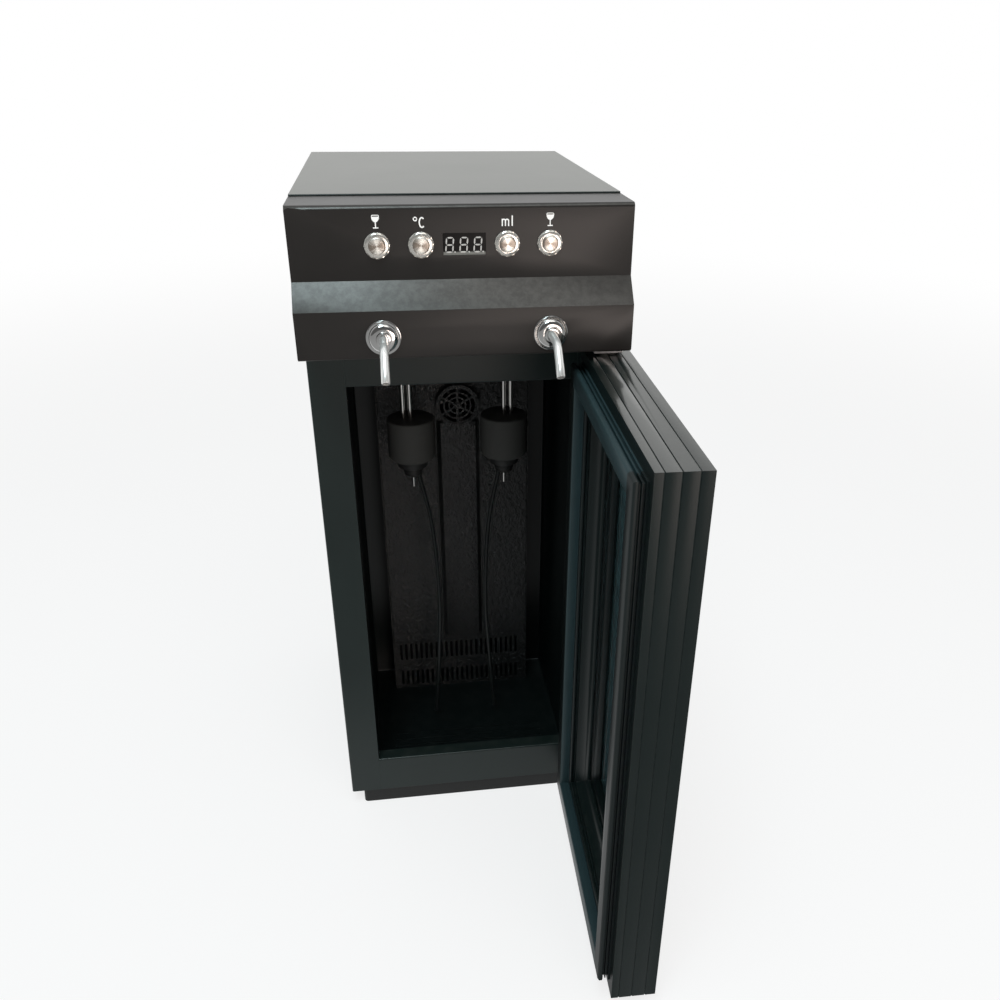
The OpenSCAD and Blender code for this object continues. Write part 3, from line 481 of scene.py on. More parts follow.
def board():
    made = Finish("board_laminate")
    tracks = made.add("ShaderNodeTexVoronoi", {"Vector": made.stretched((1, 1, 1)), "Scale": 140.0},
                      feature="DISTANCE_TO_EDGE", distance="EUCLIDEAN")
    lines = 1 - tracks.between(0.03, 0.05)
    return made.set(Base_Color=made.blend(lines, (0.012, 0.085, 0.04, 1), (0.03, 0.16, 0.075, 1)),
                    Roughness=0.35 + made.noise(10, 2) * 0.15, Normal=made.bump(lines, 0.03))


def ink(name, colour):
    made = Finish(name)
    patchy = made.noise(0.5, 3)
    return made.set(Base_Color=made.blend(patchy, shade(colour, 0.9), shade(colour)),
                    Roughness=0.45 + patchy * 0.15, Normal=made.bump(patchy, 0.004))


finishes.update({
    "dark_glass": glass(),
    "clear_hose": hose(),
    "circuit_board": board(),
    "white_ink": ink("white_ink", (0.96, 0.96, 0.94)),
    "unlit_segment": ink("unlit_segment", (0.52, 0.51, 0.49)),
})
print(len(finishes), "finishes in all")

# %% [markdown]
# ## Pieces
# Three ways to make a piece are enough. A CAD node whose surfaces are already right only
# gets its finish. A sheet or plastic part is a merged copy of its node with real bends and
# small rounded edges, because sharp edges catch no light. A turned or swept part is made
# again with smooth rings. Every new piece stands exactly where its node is.

# %% Making pieces


def dress(node):
    """A CAD node keeps its mesh and gets its finish."""
    made = frame["nodes"][node]
    material = finishes[slot_of[node]].material
    if not made.data.materials:
        made.data.materials.append(None)
    for held in made.material_slots:
        held.material = material


def piece(name, work, finish, body, node=None, smooth=35):
    """A mesh object from a bmesh, riding on a body and standing for a node."""
    mesh = bpy.data.meshes.new(name)
    work.to_mesh(mesh)
    work.free()
    made = put(name, mesh)
    mesh.materials.append(finishes[finish].material)
    mesh.shade_smooth()
    mesh.set_sharp_from_angle(angle=math.radians(smooth))
    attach(made, body)
    if node:
        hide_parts(node)
    return made


def cad_copy(node):
    """A node's mesh with its seams merged and the triangles of each flat face joined."""
    work = bmesh.new()
    work.from_mesh(frame["nodes"][node].data)
    bmesh.ops.remove_doubles(work, verts=work.verts, dist=3e-6)
    bmesh.ops.dissolve_limit(work, angle_limit=math.radians(0.4), verts=work.verts, edges=work.edges)
    return work


def turn_of(edge):
    """The angle between an edge's two faces, in degrees."""
    return math.degrees(edge.calc_face_angle(0)) if len(edge.link_faces) == 2 else 0


def rounded(made, edge, angle=38):
    """Rounds the sharp edges of a piece by that many millimetres."""
    rounding = made.modifiers.new("rounded_edges", "BEVEL")
    rounding.width = mm(edge)
    rounding.segments = 2
    rounding.limit_method = "ANGLE"
    rounding.angle_limit = math.radians(angle)
    rounding.harden_normals = True


def softened(node, edge=0.3, folds=(), reshape=None):
    """A node's copy with bends along chosen edges and all other edges slightly rounded."""
    work = cad_copy(node)
    if reshape:
        reshape(work)
    for chosen, radius in folds:
        lines = [e for e in work.edges if turn_of(e) > 40 and chosen(e.verts[0].co, e.verts[1].co)]
        bmesh.ops.bevel(work, geom=lines, offset=mm(radius), offset_type="OFFSET", segments=4,
                        profile=0.5, affect="EDGES", clamp_overlap=True)
    rounded(piece(node + "_formed", work, slot_of[node], frame["nodes"][node]["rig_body"], node), edge)


print("piece helpers are ready")

# %% [markdown]
# ## The hanging dip tubes
# A dip tube reaches down into the bottle and draws the wine. It is stiff plastic, 4 mm across,
# and hangs free under the stopper with a slight inward bow. It is swept along the same points
# as in the CAD source, smoothed, with a real bore that shows at its open end.

# %% Dip tubes
STOPPER_X, STOPPER_Y, SEAL_TIP = mm(43.5, -69, 336.5)
DIP_ROUTE = [(0, 0, 0), (0.3, 0, 4), (2, 0.1, 12), (4.8, 0.2, 25), (7.6, 0.4, 40), (9.8, 0.6, 55),
             (12.1, 0.8, 80), (13.3, 1, 104), (14, 1.1, 128), (14.2, 1.1, 152), (13.4, 1, 176),
             (12, 0.8, 200), (10.7, 0.6, 224), (9.1, 0.4, 246), (7.4, 0.2, 266), (5.7, 0, 285)]


def smoothed(points, steps=4):
    """A finer row of points on a smooth curve through the given ones."""
    ends = [points[0] * 2 - points[1], *points, points[-1] * 2 - points[-2]]
    made = []
    for a, b, c, d in zip(ends, ends[1:], ends[2:], ends[3:]):
        for i in range(steps):
            t = i / steps
            made.append(0.5 * (2 * b + (c - a) * t + (2 * a - 5 * b + 4 * c - d) * t * t
                               + (3 * b - a - 3 * c + d) * t ** 3))
    return [*made, points[-1].copy()]


def swept(path, outer, inner, sides=32):
    """A tube of that outer and inner radius along a path, with its wall closed at both ends."""
    work = bmesh.new()
    up = Vector((1, 0, 0)) if abs((path[1] - path[0]).normalized().x) < 0.8 else Vector((0, 1, 0))
    rings = []
    for i, point in enumerate(path):
        ahead = (path[min(i + 1, len(path) - 1)] - path[max(i - 1, 0)]).normalized()
        across = ahead.cross(up).normalized()
        up = across.cross(ahead)
        radii = [r[i] if isinstance(r, list) else r for r in (outer, inner)]
        rings.append([[work.verts.new(point + r * (math.cos(a) * across + math.sin(a) * up))
                       for a in (math.tau * k / sides for k in range(sides))] for r in radii])
    for k in range(sides):
        n = (k + 1) % sides
        for a, b in zip(rings, rings[1:]):
            work.faces.new((a[0][k], a[0][n], b[0][n], b[0][k]))
            work.faces.new((a[1][n], a[1][k], b[1][k], b[1][n]))
        for end in (rings[0], rings[-1]):
            work.faces.new((end[0][k], end[1][k], end[1][n], end[0][n]))
    bmesh.ops.recalc_face_normals(work, faces=work.faces)
    return work


for side, name in ((-1, "left"), (1, "right")):
    top = Vector((side * (STOPPER_X - mm(5.4)), STOPPER_Y, SEAL_TIP))
    route = smoothed([top + Vector((-side * mm(x), mm(y), -mm(z))) for x, y, z in DIP_ROUTE])
    length = sum((b - a).length for a, b in zip(route, route[1:]))
    tube = piece(f"dip_tube_{name}_drawn", swept(route, mm(2), mm(1.2)), "dip_plastic",
                 f"{name}_stopper", f"dip_tube_{name}")
    mm(4)
    print(f"dip tube {name}: {length * 1000:.1f} mm long")

# %% [markdown]
# ## Cabinet sheet metal
# The cabinet is 1.2 mm steel, folded and powder painted. A fold has an outside radius of
# about one and a half sheets, which draws a soft highlight down the front edge. Only the long
# folds get that radius: the free edges of the sheet stay nearly square.

# %% Cabinet sheets
FRONT = -0.149
HALF_W = 0.125


def near(value, target, within=0.0004):
    return abs(value - target) < within


def upright_fold(a, b):
    return near(abs(a.x), HALF_W) and near(abs(b.x), HALF_W) and near(a.y, FRONT) and near(b.y, FRONT)


def line_at(y, z):
    """Chooses the edges that run along X at this y and z, in millimetres."""
    return lambda a, b: (all(near(p.y, mm(y)) and near(p.z, mm(z)) for p in (a, b))
                         and abs(a.x - b.x) > mm(4))


for name in ("side_panel_left", "side_panel_right"):
    softened(name, 0.25, [(upright_fold, 1.8)])
softened("bottom_rail", 0.2, [(line_at(-149, 57), 1.5)])
softened("top_rail", 0.2, [(line_at(-149, 452), 1.2)])
for name, edge, folds in (("base_pan", 0.2, ()), ("rear_panel", 0.15, ()),
                          ("top_cover", 0.4, [(line_at(-147.5, 600), 0.9)]),
                          ("head_tray", 0.2, ()), ("plinth_ring", 0.8, ())):
    softened(name, edge, folds)

# %% [markdown]
# ## The head
# One sheet is bent over the top, down the upper face, out along the bevel and under, and its
# cheeks close the ends. Its four long bends are softer than the cabinet's and give the face
# its fine bright lines.

# %% Head sheet
softened("fascia_shell", 0.3, [
    (line_at(-194.5, 598.8), 3), (line_at(-194.5, 547), 2.5),
    (line_at(-209.5, 528.5), 2.5), (line_at(-209.5, 493), 1.8)])
print("head sheet bent")

# %% [markdown]
# ## Turned parts
# Rosettes, caps, stoppers and seals are all round, and were turned or moulded in round
# moulds. A profile of radius and height is spun about an axis into rings of faces. A
# subdivided cylinder could do it, but a profile keeps each step and groove at its real size.

# %% Turning


def arc(centre_r, centre_h, radius, start, stop, steps=6):
    """Points of a profile on an arc, angles in degrees."""
    angles = [math.radians(start + (stop - start) * i / steps) for i in range(steps + 1)]
    return [(centre_r + radius * math.cos(a), centre_h + radius * math.sin(a)) for a in angles]


def spun(profile, axis, steps=96):
    """A closed profile in millimetres, spun and placed by the axis matrix."""
    work = bmesh.new()
    rings = []
    for k in range(steps):
        a = math.tau * k / steps
        rings.append([work.verts.new(axis @ Vector(mm(r * math.cos(a), r * math.sin(a), h)))
                      for r, h in profile])
    for k in range(steps):
        here, then = rings[k], rings[(k + 1) % steps]
        for i in range(len(profile)):
            j = (i + 1) % len(profile)
            if profile[i][0] > 0 or profile[j][0] > 0:
                work.faces.new((here[i], then[i], then[j], here[j]))
    bmesh.ops.remove_doubles(work, verts=work.verts, dist=1e-7)
    bmesh.ops.recalc_face_normals(work, faces=work.faces)
    return work


def facing_front(x, y, z):
    """Axis that starts at a point and runs out of the front."""
    return Matrix.Translation((x, y, z)) @ Matrix.Rotation(math.radians(90), 4, "X")


print("turning is ready")

# %% [markdown]
# ## Buttons
# Each button is a low steel cap inside a notched ring. Its body goes back through the sheet,
# behind a flange that keeps it in, to a push switch on the board.

# %% Button caps
CAP_PROFILE = [(0, -12.9), (1.8, -12.9), (1.8, -8.2), (6.8, -8.2), (6.8, -7.1), (6, -7.1), (6, 3.1),
               (5.9, 3.4), (5.6, 3.75), (5.2, 3.9), (4, 4.0), (2, 4.06), (0, 4.08)]
CAPS = {"button_pour_left": ("pour_button_left", -BUTTON_X[1]),
        "button_temperature": ("temperature_button", -BUTTON_X[0]),
        "button_volume": ("volume_button", BUTTON_X[0]),
        "button_pour_right": ("pour_button_right", BUTTON_X[1])}
for node, (body, x) in CAPS.items():
    cap = spun(CAP_PROFILE, facing_front(x, UPPER_Y, BUTTON_Z), 64)
    piece(node + "_cap", cap, "spun_steel", body, node, 30)
softened("button_bezels", 0.12)
print("caps at", [round(x * 1000, 1) for _, x in CAPS.values()], "mm")

# %% [markdown]
# ## Spouts
# A chromed tube comes straight out of a stepped rosette, turns down through a short bend and
# ends in a plain open tip. The tube is swept along its centre line, and the rosette is turned.

# %% Spout tubes and rosettes
SPOUT_X, SPOUT_Z = mm(62, 509.3)
BEND_Y, BEND_R, BEND_TURN, TIP = -0.233, mm(14), math.radians(48), mm(20)
DOME_FOOT, DOME_W, DOME_H = 2.1, 4.4, 3.1
PLATE = [(3.1, -8), (5, -8), (5, 0), (12.9, 0), *arc(12.5, 1.0, 0.4, 0, 90, 3), (12.2, 1.5)]
DOME = [(12.2, DOME_FOOT), *arc(6.4, DOME_FOOT, DOME_W, 0, 90, 9)]
COLLAR = [(5.5, 5.25), (5.3, 5.6), (5.2, 7.2), *arc(4.8, 7.6, 0.4, 0, 90, 3), (3.1, 8)]
ROSETTE = PLATE + [(r, DOME_FOOT + (h - DOME_FOOT) * DOME_H / DOME_W) for r, h in DOME] + COLLAR


def spout_line(x):
    """Centre line of one spout, from its valve to the tip."""
    line = [Vector((x, y, SPOUT_Z)) for y in (-0.162, -0.19, -0.215)]
    for i in range(13):
        a = BEND_TURN * i / 12
        line.append(Vector((x, BEND_Y - BEND_R * math.sin(a), SPOUT_Z - BEND_R * (1 - math.cos(a)))))
    down = Vector((0, -math.cos(BEND_TURN), -math.sin(BEND_TURN)))
    return line + [line[-1] + down * d for d in (TIP * 0.5, TIP - mm(0.35), TIP)]


for side, name in ((-1, "left"), (1, "right")):
    line = spout_line(side * SPOUT_X)
    outer = [mm(3.1)] * (len(line) - 1) + [mm(2.85)]
    piece(f"spout_tube_{name}_drawn", swept(line, outer, mm(2.2), 48), "satin_chrome", "cabinet",
          f"spout_tube_{name}", 60)
    piece(f"spout_rosette_{name}", spun(ROSETTE, facing_front(side * SPOUT_X, LOWER_Y, SPOUT_Z), 96),
          "chrome", "cabinet", f"spout_flange_{name}", 30)
print("spout tip at z", round(line[-1].z * 1000, 1), "mm")

# %% [markdown]
# ## Stoppers
# The stopper is a soft rubber cap over a ribbed plug that seals the bottle's neck. Both are
# moulded round. The two lines pass through them, so the meshes have no bore: the steel tubes
# stand in the rubber, as moulded-in tubes do.

# %% Stoppers and seals
STOPPER_FOOT = mm(353.5)
STOPPER = [(0, 0.6), (13.9, 0.6), (14.1, 0), *arc(17, 5, 5, -90, 0), *arc(20.4, 38.9, 1.6, 0, 90), (0, 40.5)]
SEAL = [(1.55, 0), (7.3, 0), (7.7, 0.4), (8.6, 2), (8.2, 3), (9.2, 5), (9.2, 5.4), (8.8, 6.2), (9.5, 8),
        (9.5, 8.4), (9.1, 9), (13.6, 9.8), (14, 10.2), (14, 17), (1.55, 17)]
for side, name in ((-1, "left"), (1, "right")):
    at = Vector((side * STOPPER_X, STOPPER_Y, 0))
    piece(f"stopper_{name}_cap", spun(STOPPER, Matrix.Translation(at + Vector((0, 0, STOPPER_FOOT))), 96),
          "stopper_rubber", f"{name}_stopper", f"stopper_{name}", 50)
    piece(f"stopper_{name}_plug", spun(SEAL, Matrix.Translation(at + Vector((0, 0, SEAL_TIP))), 72),
          "seal_rubber", f"{name}_stopper", f"stopper_seal_{name}", 50)
    for node in ("line_tubes", "head_hoses", "wine_valve"):
        dress(f"{node}_{name}")
print("stoppers at x", round(STOPPER_X * 1000, 1), "mm")

# %% [markdown]
# ## Cold compartment
# The lining is one vacuum-formed shell, so its inside corners are generously rounded. At the
# back stands the air duct's cover. Its sheet is embossed all over, which breaks up the
# light into small sparkles.

# %% Lining and duct cover
LINER_X, LINER_BACK = mm(98, 27)
BAY_LOW, BAY_HIGH = mm(40, 462)


def inside_corner(a, b):
    """Edges between two of the lining's walls."""
    def touches(p):
        at_end = near(p.z, BAY_LOW) or near(p.z, BAY_HIGH)
        return near(abs(p.x), LINER_X) + near(p.y, LINER_BACK) + at_end >= 2
    return touches(a) and touches(b) and (a - b).length > mm(100)


softened("liner", 0.2, [(inside_corner, 7)])
softened("duct_cover", 0.2)
dress("ceiling_grommets")
print("lining corners rounded")

# %% [markdown]
# ## Embossing by rule
# The embossing follows a rule: bumps of a few millimetres, all over each flat field. A
# geometry node tree makes one field: a flat box with a fine grid of faces, whose front points
# are pushed out by noise. Sizes are the tree's inputs, so one tree serves all three fields.

# %% Embossed fields


class Recipe(Graph):
    """A geometry node tree with named inputs."""

    def __init__(self, name):
        super().__init__(bpy.data.node_groups.new(name, "GeometryNodeTree"))
        self.tree.interface.new_socket("Geometry", in_out="INPUT", socket_type="NodeSocketGeometry")
        self.tree.interface.new_socket("Geometry", in_out="OUTPUT", socket_type="NodeSocketGeometry")
        self.source = self.tree.nodes.new("NodeGroupInput")
        self.keys = {}

    def input(self, name, kind="NodeSocketFloat"):
        made = self.tree.interface.new_socket(name, in_out="INPUT", socket_type=kind)
        self.keys[name] = made.identifier
        return Wire(self, self.source.outputs[name])

    def vector(self, **parts):
        return self.add("ShaderNodeCombineXYZ", parts)

    def moved(self, shape, where):
        return self.add("GeometryNodeTransform", {"Geometry": shape, "Translation": where})

    def placed(self, shape, turn):
        """The shape on every vertex of the mesh that the tree is given."""
        points = Wire(self, self.source.outputs[0])
        return self.add("GeometryNodeInstanceOnPoints",
                        {"Points": points, "Instance": shape, "Rotation": turn})

    def close(self, shape, finish):
        real = self.add("GeometryNodeRealizeInstances", {0: shape})
        done = self.add("GeometryNodeSetMaterial",
                        {"Geometry": real, "Material": finishes[finish].material})
        self.join(done, self.tree.nodes.new("NodeGroupOutput").inputs[0])

    def made_on(self, mesh, name, body, **inputs):
        """Runs the tree on a mesh and gives the plain piece that it makes."""
        carrier = put(name + "_carrier", mesh)
        modifier = carrier.modifiers.new("recipe", "NODES")
        modifier.node_group = self.tree
        for key, value in inputs.items():
            modifier[self.keys[key]] = value
        ready = carrier.evaluated_get(bpy.context.evaluated_depsgraph_get())
        plain = bpy.data.meshes.new_from_object(ready)
        bpy.data.objects.remove(carrier)
        plain.name = name
        made = put(name, plain)
        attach(made, body)
        return made


def embossing_recipe():
    tree = Recipe("embossed_field")
    size = tree.input("Size", "NodeSocketVector")
    centre = tree.input("Centre", "NodeSocketVector")
    cell = tree.input("Cell")
    depth = tree.input("Depth")
    seed = tree.input("Seed")
    wide, thick, tall = tree.parts(size)
    box = tree.add("GeometryNodeMeshCube", {"Size": size, "Vertices X": wide / cell, "Vertices Y": 2,
                                                "Vertices Z": tall / cell})
    placed = tree.moved(box, centre)
    here = tree.add("GeometryNodeInputPosition")
    x, y, z = tree.parts(here)
    middle_x, middle_y, middle_z = tree.parts(centre)
    in_x = (wide / 2 - abs(x - middle_x)) / cell
    in_z = (tall / 2 - abs(z - middle_z)) / cell
    inside = tree.add("ShaderNodeMath", {0: in_x, 1: in_z}, operation="MINIMUM") * 0.35
    on_front = tree.add("FunctionNodeCompare", {0: y, 1: middle_y}, operation="LESS_THAN")
    dents = tree.add("ShaderNodeTexNoise", noise_dimensions="4D", values={
        "Vector": here, "W": seed, "Scale": 210.0, "Detail": 1.5, "Roughness": 0.45})
    lift = (dents - 0.5) * 2.6 * depth * inside.limited()
    push = tree.vector(Y=0 - lift)
    moved = tree.add("GeometryNodeSetPosition", {"Geometry": placed, "Selection": on_front, "Offset": push})
    smooth = tree.add("GeometryNodeSetShadeSmooth", {"Geometry": moved})
    tree.close(smooth, "duct_plate")
    return tree


FIELDS = {"left": ((-75, -18.5), (103, 459)), "right": ((26.5, 75), (103, 459)),
          "top": ((-17.5, 25.5), (408, 459))}
FIELD_Y, FIELD_THICK, CELL, DENT = -9.3, 0.8, mm(1.15), mm(0.5)
emboss = embossing_recipe()
for name, ((x0, x1), (z0, z1)) in FIELDS.items():
    field = emboss.made_on(bpy.data.meshes.new("empty"), f"duct_cover_embossing_{name}", "cabinet",
                           Size=mm(x1 - x0, FIELD_THICK, z1 - z0),
                           Centre=mm((x0 + x1) / 2, FIELD_Y, (z0 + z1) / 2),
                           Cell=CELL, Depth=DENT, Seed=3.0)
    print(field.name, len(field.data.polygons), "faces")

# %% [markdown]
# ## Door
# The frame's bars have three fine grooves along their edge. They are half as deep here as in
# the CAD source, a value chosen because they show only faintly in the photograph. The bead
# inside steps down to the glass, and the seal is soft rubber with folds outside, a broad lip
# and a smooth inner wall, as read from the photograph. Bead and seal are profiles taken round
# the shut door and then swung open, which gives true mitres at the four corners.

# %% Door pieces
DOOR_IN, DOOR_LOW, DOOR_HIGH = mm(-159, 17, 485)
GROOVES = mm(28, 17, 6.3)
BEAD = [(26.8, -0.8), (31.5, -0.8), (32.4, 0.1), (32.6, 1.3), (31.3, 2.2), (31.1, 4), (34, 4.7), (35.1, 7.5),
        (40.5, 12.5), (42.3, 13.1), (44.5, 14.5), (45, 15.5), (45, 16.8), (30.2, 16.8), (30.2, 0), (26.8, 0)]


GASKET = [(10, 0), (10, -1.3), (12.6, -1.5), (12.6, -2.6), (11, -3), (11, -3.8), (12.8, -4.3),
          (12.8, -5.2), (10.6, -5.5), (10, -6.1), (10, -8.4), (11.3, -9.7), (24.6, -9.7), (25.5, -9.2),
          (26, -8), (26.3, -5), (26.1, -2), (25.8, -0.6), (26, 0), (19.4, 0), (19.4, 4.8), (16.6, 4.8),
          (16.6, 0)]
SWING = Matrix.Rotation(DOOR_OPEN, 3, "Z")


def swung(shut):
    """Where a point of the shut door lies at rest."""
    return PIN + SWING @ (shut - PIN)


def door_ring(profile):
    """A profile of inset and depth in millimetres, taken round the shut door and then swung open."""
    work = bmesh.new()
    rings = []
    for side, high in ((-1, 0), (1, 0), (1, 1), (-1, 1)):
        row = []
        for inset, depth in profile:
            shut = Vector((side * (DOOR_HALF_W - mm(inset)), DOOR_IN - mm(depth),
                           DOOR_HIGH - mm(inset) if high else DOOR_LOW + mm(inset)))
            row.append(work.verts.new(swung(shut)))
        rings.append(row)
    for here, then in zip(rings, rings[1:] + rings[:1]):
        for i in range(len(profile)):
            j = (i + 1) % len(profile)
            work.faces.new((here[i], then[i], then[j], here[j]))
    bmesh.ops.recalc_face_normals(work, faces=work.faces)
    return work


def shallow_grooves(work):
    """Makes the three grooves round the edge half as deep and a little narrower."""
    for vert in work.verts:
        shut = PIN + SWING.transposed() @ (vert.co - PIN)
        depth = DOOR_IN - shut.y
        groove = min(GROOVES, key=lambda v: abs(v - depth))
        if near(depth, groove, mm(1)):
            for axis, middle, half in ((0, 0, DOOR_HALF_W), (2, DOOR_MID_Z, DOOR_HALF_H)):
                if near(half - abs(shut[axis] - middle), mm(1), mm(0.1)):
                    shut[axis] += math.copysign(mm(0.5), shut[axis] - middle)
            shut.y = DOOR_IN - groove - (depth - groove) * 0.6
            vert.co = swung(shut)


rounded(piece("glazing_bead", door_ring(BEAD), "door_plastic", "door", "glazing_trim"), 0.25, 30)
piece("door_seal", door_ring(GASKET), "gasket_rubber", "door", "door_gasket", 50)
softened("door_frame", 0.3, reshape=shallow_grooves)
for name, edge in (("glass_spacer", 0.2), ("outer_glass", 0.5), ("inner_glass", 0.5),
                   ("hinge_brackets", 0.3)):
    softened(name, edge)
dress("hinge_bushes")
print("door pieces are dressed")

# %% [markdown]
# ## Screws
# Twelve low-headed screws hold the rear panel and the fan, and four hold the hinge plates.
# One tree makes the screw: a head with a cross recess on a shank. It is placed on every
# vertex of a mesh that only holds the screws' places, and turned to face out of its sheet.

# %% Screws
HALF_SCREW_X, FAN_HOLE, BACK, FAN_Z = mm(117, 35.75, 149, 384)
SCREW_ROWS = mm(40, 215, 470, 585)


def point_mesh(points):
    mesh = bpy.data.meshes.new("places")
    mesh.from_pydata([tuple(p) for p in points], [], [])
    return mesh


def screw_recipe():
    tree = Recipe("screws")
    head_r, shank_r = tree.input("Head_radius"), tree.input("Shank_radius")
    length, facing = tree.input("Length"), tree.input("Facing", "NodeSocketVector")
    head_h = mm(1.6)
    head = tree.add("GeometryNodeMeshCylinder", {"Vertices": 32, "Radius": head_r, "Depth": head_h})
    lifted = tree.moved(head, (0, 0, head_h / 2))
    blades = [tree.add("GeometryNodeMeshCube", {"Size": size})
              for size in (mm(4.2, 0.9, 1.1), mm(0.9, 4.2, 1.1))]
    cutters = [tree.moved(blade, (0, 0, head_h)) for blade in blades]
    cross = tree.tree.nodes.new("GeometryNodeMeshBoolean")
    cross.operation = "DIFFERENCE"
    tree.join(lifted, cross.inputs[0])
    for cutter in cutters:
        tree.tree.links.new(cutter.socket, cross.inputs[1])
    shank = tree.add("GeometryNodeMeshCylinder", {"Vertices": 24, "Radius": shank_r, "Depth": length})
    sunk = tree.moved(shank, tree.vector(Z=0 - length / 2))
    both = tree.tree.nodes.new("GeometryNodeJoinGeometry")
    for part in (Wire(tree, cross.outputs[0]), sunk):
        tree.tree.links.new(part.socket, both.inputs[0])
    tree.close(tree.placed(Wire(tree, both.outputs[0]), facing), "screw_steel")
    return tree


screws = screw_recipe()
TO_BACK, TO_FRONT = (-math.pi / 2, 0, 0), (math.pi / 2, 0, 0)
panel_points = [(s * HALF_SCREW_X, BACK, z) for s in (-1, 1) for z in SCREW_ROWS]
fan_points = [(x * FAN_HOLE, BACK + mm(1.6), FAN_Z + z * FAN_HOLE) for x in (-1, 1) for z in (-1, 1)]
hinge_points = [(x, mm(-151), z) for x in mm(98, 112) for z in mm(19.8, 482.2)]
# name, places, node, head radius, shank radius, length, facing
SETS = (("rear_panel_screws", panel_points, "panel_screws", 4, 1.9, 7, TO_BACK),
        ("fan_screws", fan_points, "panel_screws", 3.8, 1.8, 14, TO_BACK),
        ("hinge_plate_screws", hinge_points, "hinge_screws", 3.4, 1.9, 3.2, TO_FRONT))
for name, points, node, head, shank, length, facing in SETS:
    row = screws.made_on(point_mesh(points), name, "cabinet", Head_radius=mm(head), Shank_radius=mm(shank),
                         Length=mm(length), Facing=facing)
    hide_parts(node)
    row.data.set_sharp_from_angle(angle=math.radians(35))
    print(name, len(points))

# %% [markdown]
# ## Display
# A small three-figure display sits behind a window in the head. Unlit, its segments show as
# pale bars. Each figure is seven of the same bar, so a tree places one bar on the points of
# all figures and turns the upright ones. A slight lean makes the figures italic.

# %% Display figures
DISPLAY_Y, DISPLAY_Z = UPPER_Y + mm(0.4), BUTTON_Z - mm(0.5)
SEGMENT_L, SEGMENT_W, DIGIT_H, DIGIT_W, DIGIT_PITCH = mm(4.6, 1.15, 10, 5, 10.2)
DOT = mm(1.3)
LEAN = math.tan(math.radians(5))


def digit_points():
    """The middle of every bar of three figures eight, and whether it stands upright."""
    points, upright = [], []
    for digit in (-1, 0, 1):
        middle = digit * DIGIT_PITCH - mm(0.4)
        for z in (-DIGIT_H / 2, 0, DIGIT_H / 2):
            points.append((middle + z * LEAN, DISPLAY_Y, DISPLAY_Z + z))
            upright.append(0.0)
        for x in (-DIGIT_W / 2, DIGIT_W / 2):
            for z in (-DIGIT_H / 4, DIGIT_H / 4):
                points.append((middle + x + z * LEAN, DISPLAY_Y, DISPLAY_Z + z))
                upright.append(1.0)
    mesh = point_mesh(points)
    mesh.attributes.new("upright", "FLOAT", "POINT").data.foreach_set("value", upright)
    return mesh


def segment_recipe():
    tree = Recipe("display_segments")
    length, width, thick = tree.input("Length"), tree.input("Width"), tree.input("Thickness")
    bar = tree.add("GeometryNodeMeshCylinder", {"Vertices": 6, "Radius": 0.5, "Depth": 1.0})
    scale = tree.vector(X=length, Y=width, Z=thick)
    sized = tree.add("GeometryNodeTransform", {"Geometry": bar, "Scale": scale})
    upright = tree.add("GeometryNodeInputNamedAttribute", {"Name": "upright"}, data_type="FLOAT")
    turn = tree.vector(X=math.pi / 2, Y=upright * (math.pi / 2 + math.atan(LEAN)))
    tree.close(tree.placed(sized, turn), "unlit_segment")
    return tree


dress("display_module")
figures = segment_recipe().made_on(digit_points(), "display_figures", "cabinet",
                                   Length=SEGMENT_L, Width=SEGMENT_W, Thickness=mm(0.3))
dots = point_mesh([(digit * DIGIT_PITCH + mm(3.4), DISPLAY_Y, DISPLAY_Z - DIGIT_H / 2)
                   for digit in (-1, 0, 1)])
dots.attributes.new("upright", "FLOAT", "POINT")
points = segment_recipe().made_on(dots, "display_points", "cabinet", Length=DOT, Width=DOT, Thickness=mm(0.3))
for lit in (figures, points):
    print(lit.name, len(lit.data.polygons) // 8)

# %% [markdown]
# ## Printed marks
# White ink marks tell the buttons apart: a wine glass over the two pour buttons, and the units
# of temperature and volume over the middle two. Each stroke is a ribbon round its middle line,
# then given the thickness of a layer of ink so that it is a closed solid. Where strokes cross,
# each lies a hundredth of a millimetre in front of the last, so that no two faces coincide.

# %% Printed marks
INK = mm(0.06)


def ribbon(points, width, closed=False):
    """The two edges of a line of that width, in millimetres."""
    row = [Vector(p) for p in points]
    left, right = [], []
    for i, p in enumerate(row):
        before = row[i - 1] if i or closed else p
        after = row[(i + 1) % len(row)] if i + 1 < len(row) or closed else p
        along = (after - before).normalized()
        side = Vector((-along.y, along.x)) * (width / 2)
        left.append(p + side)
        right.append(p - side)
    if closed:
        left, right = left + left[:1], right + right[:1]
    return left, right


def loop(x, z, rx, rz, start, stop, steps=18):
    """Points of an arc, angles in degrees."""
    turns = [math.radians(start + (stop - start) * i / steps) for i in range(steps + 1)]
    return [(x + rx * math.cos(a), z + rz * math.sin(a)) for a in turns]


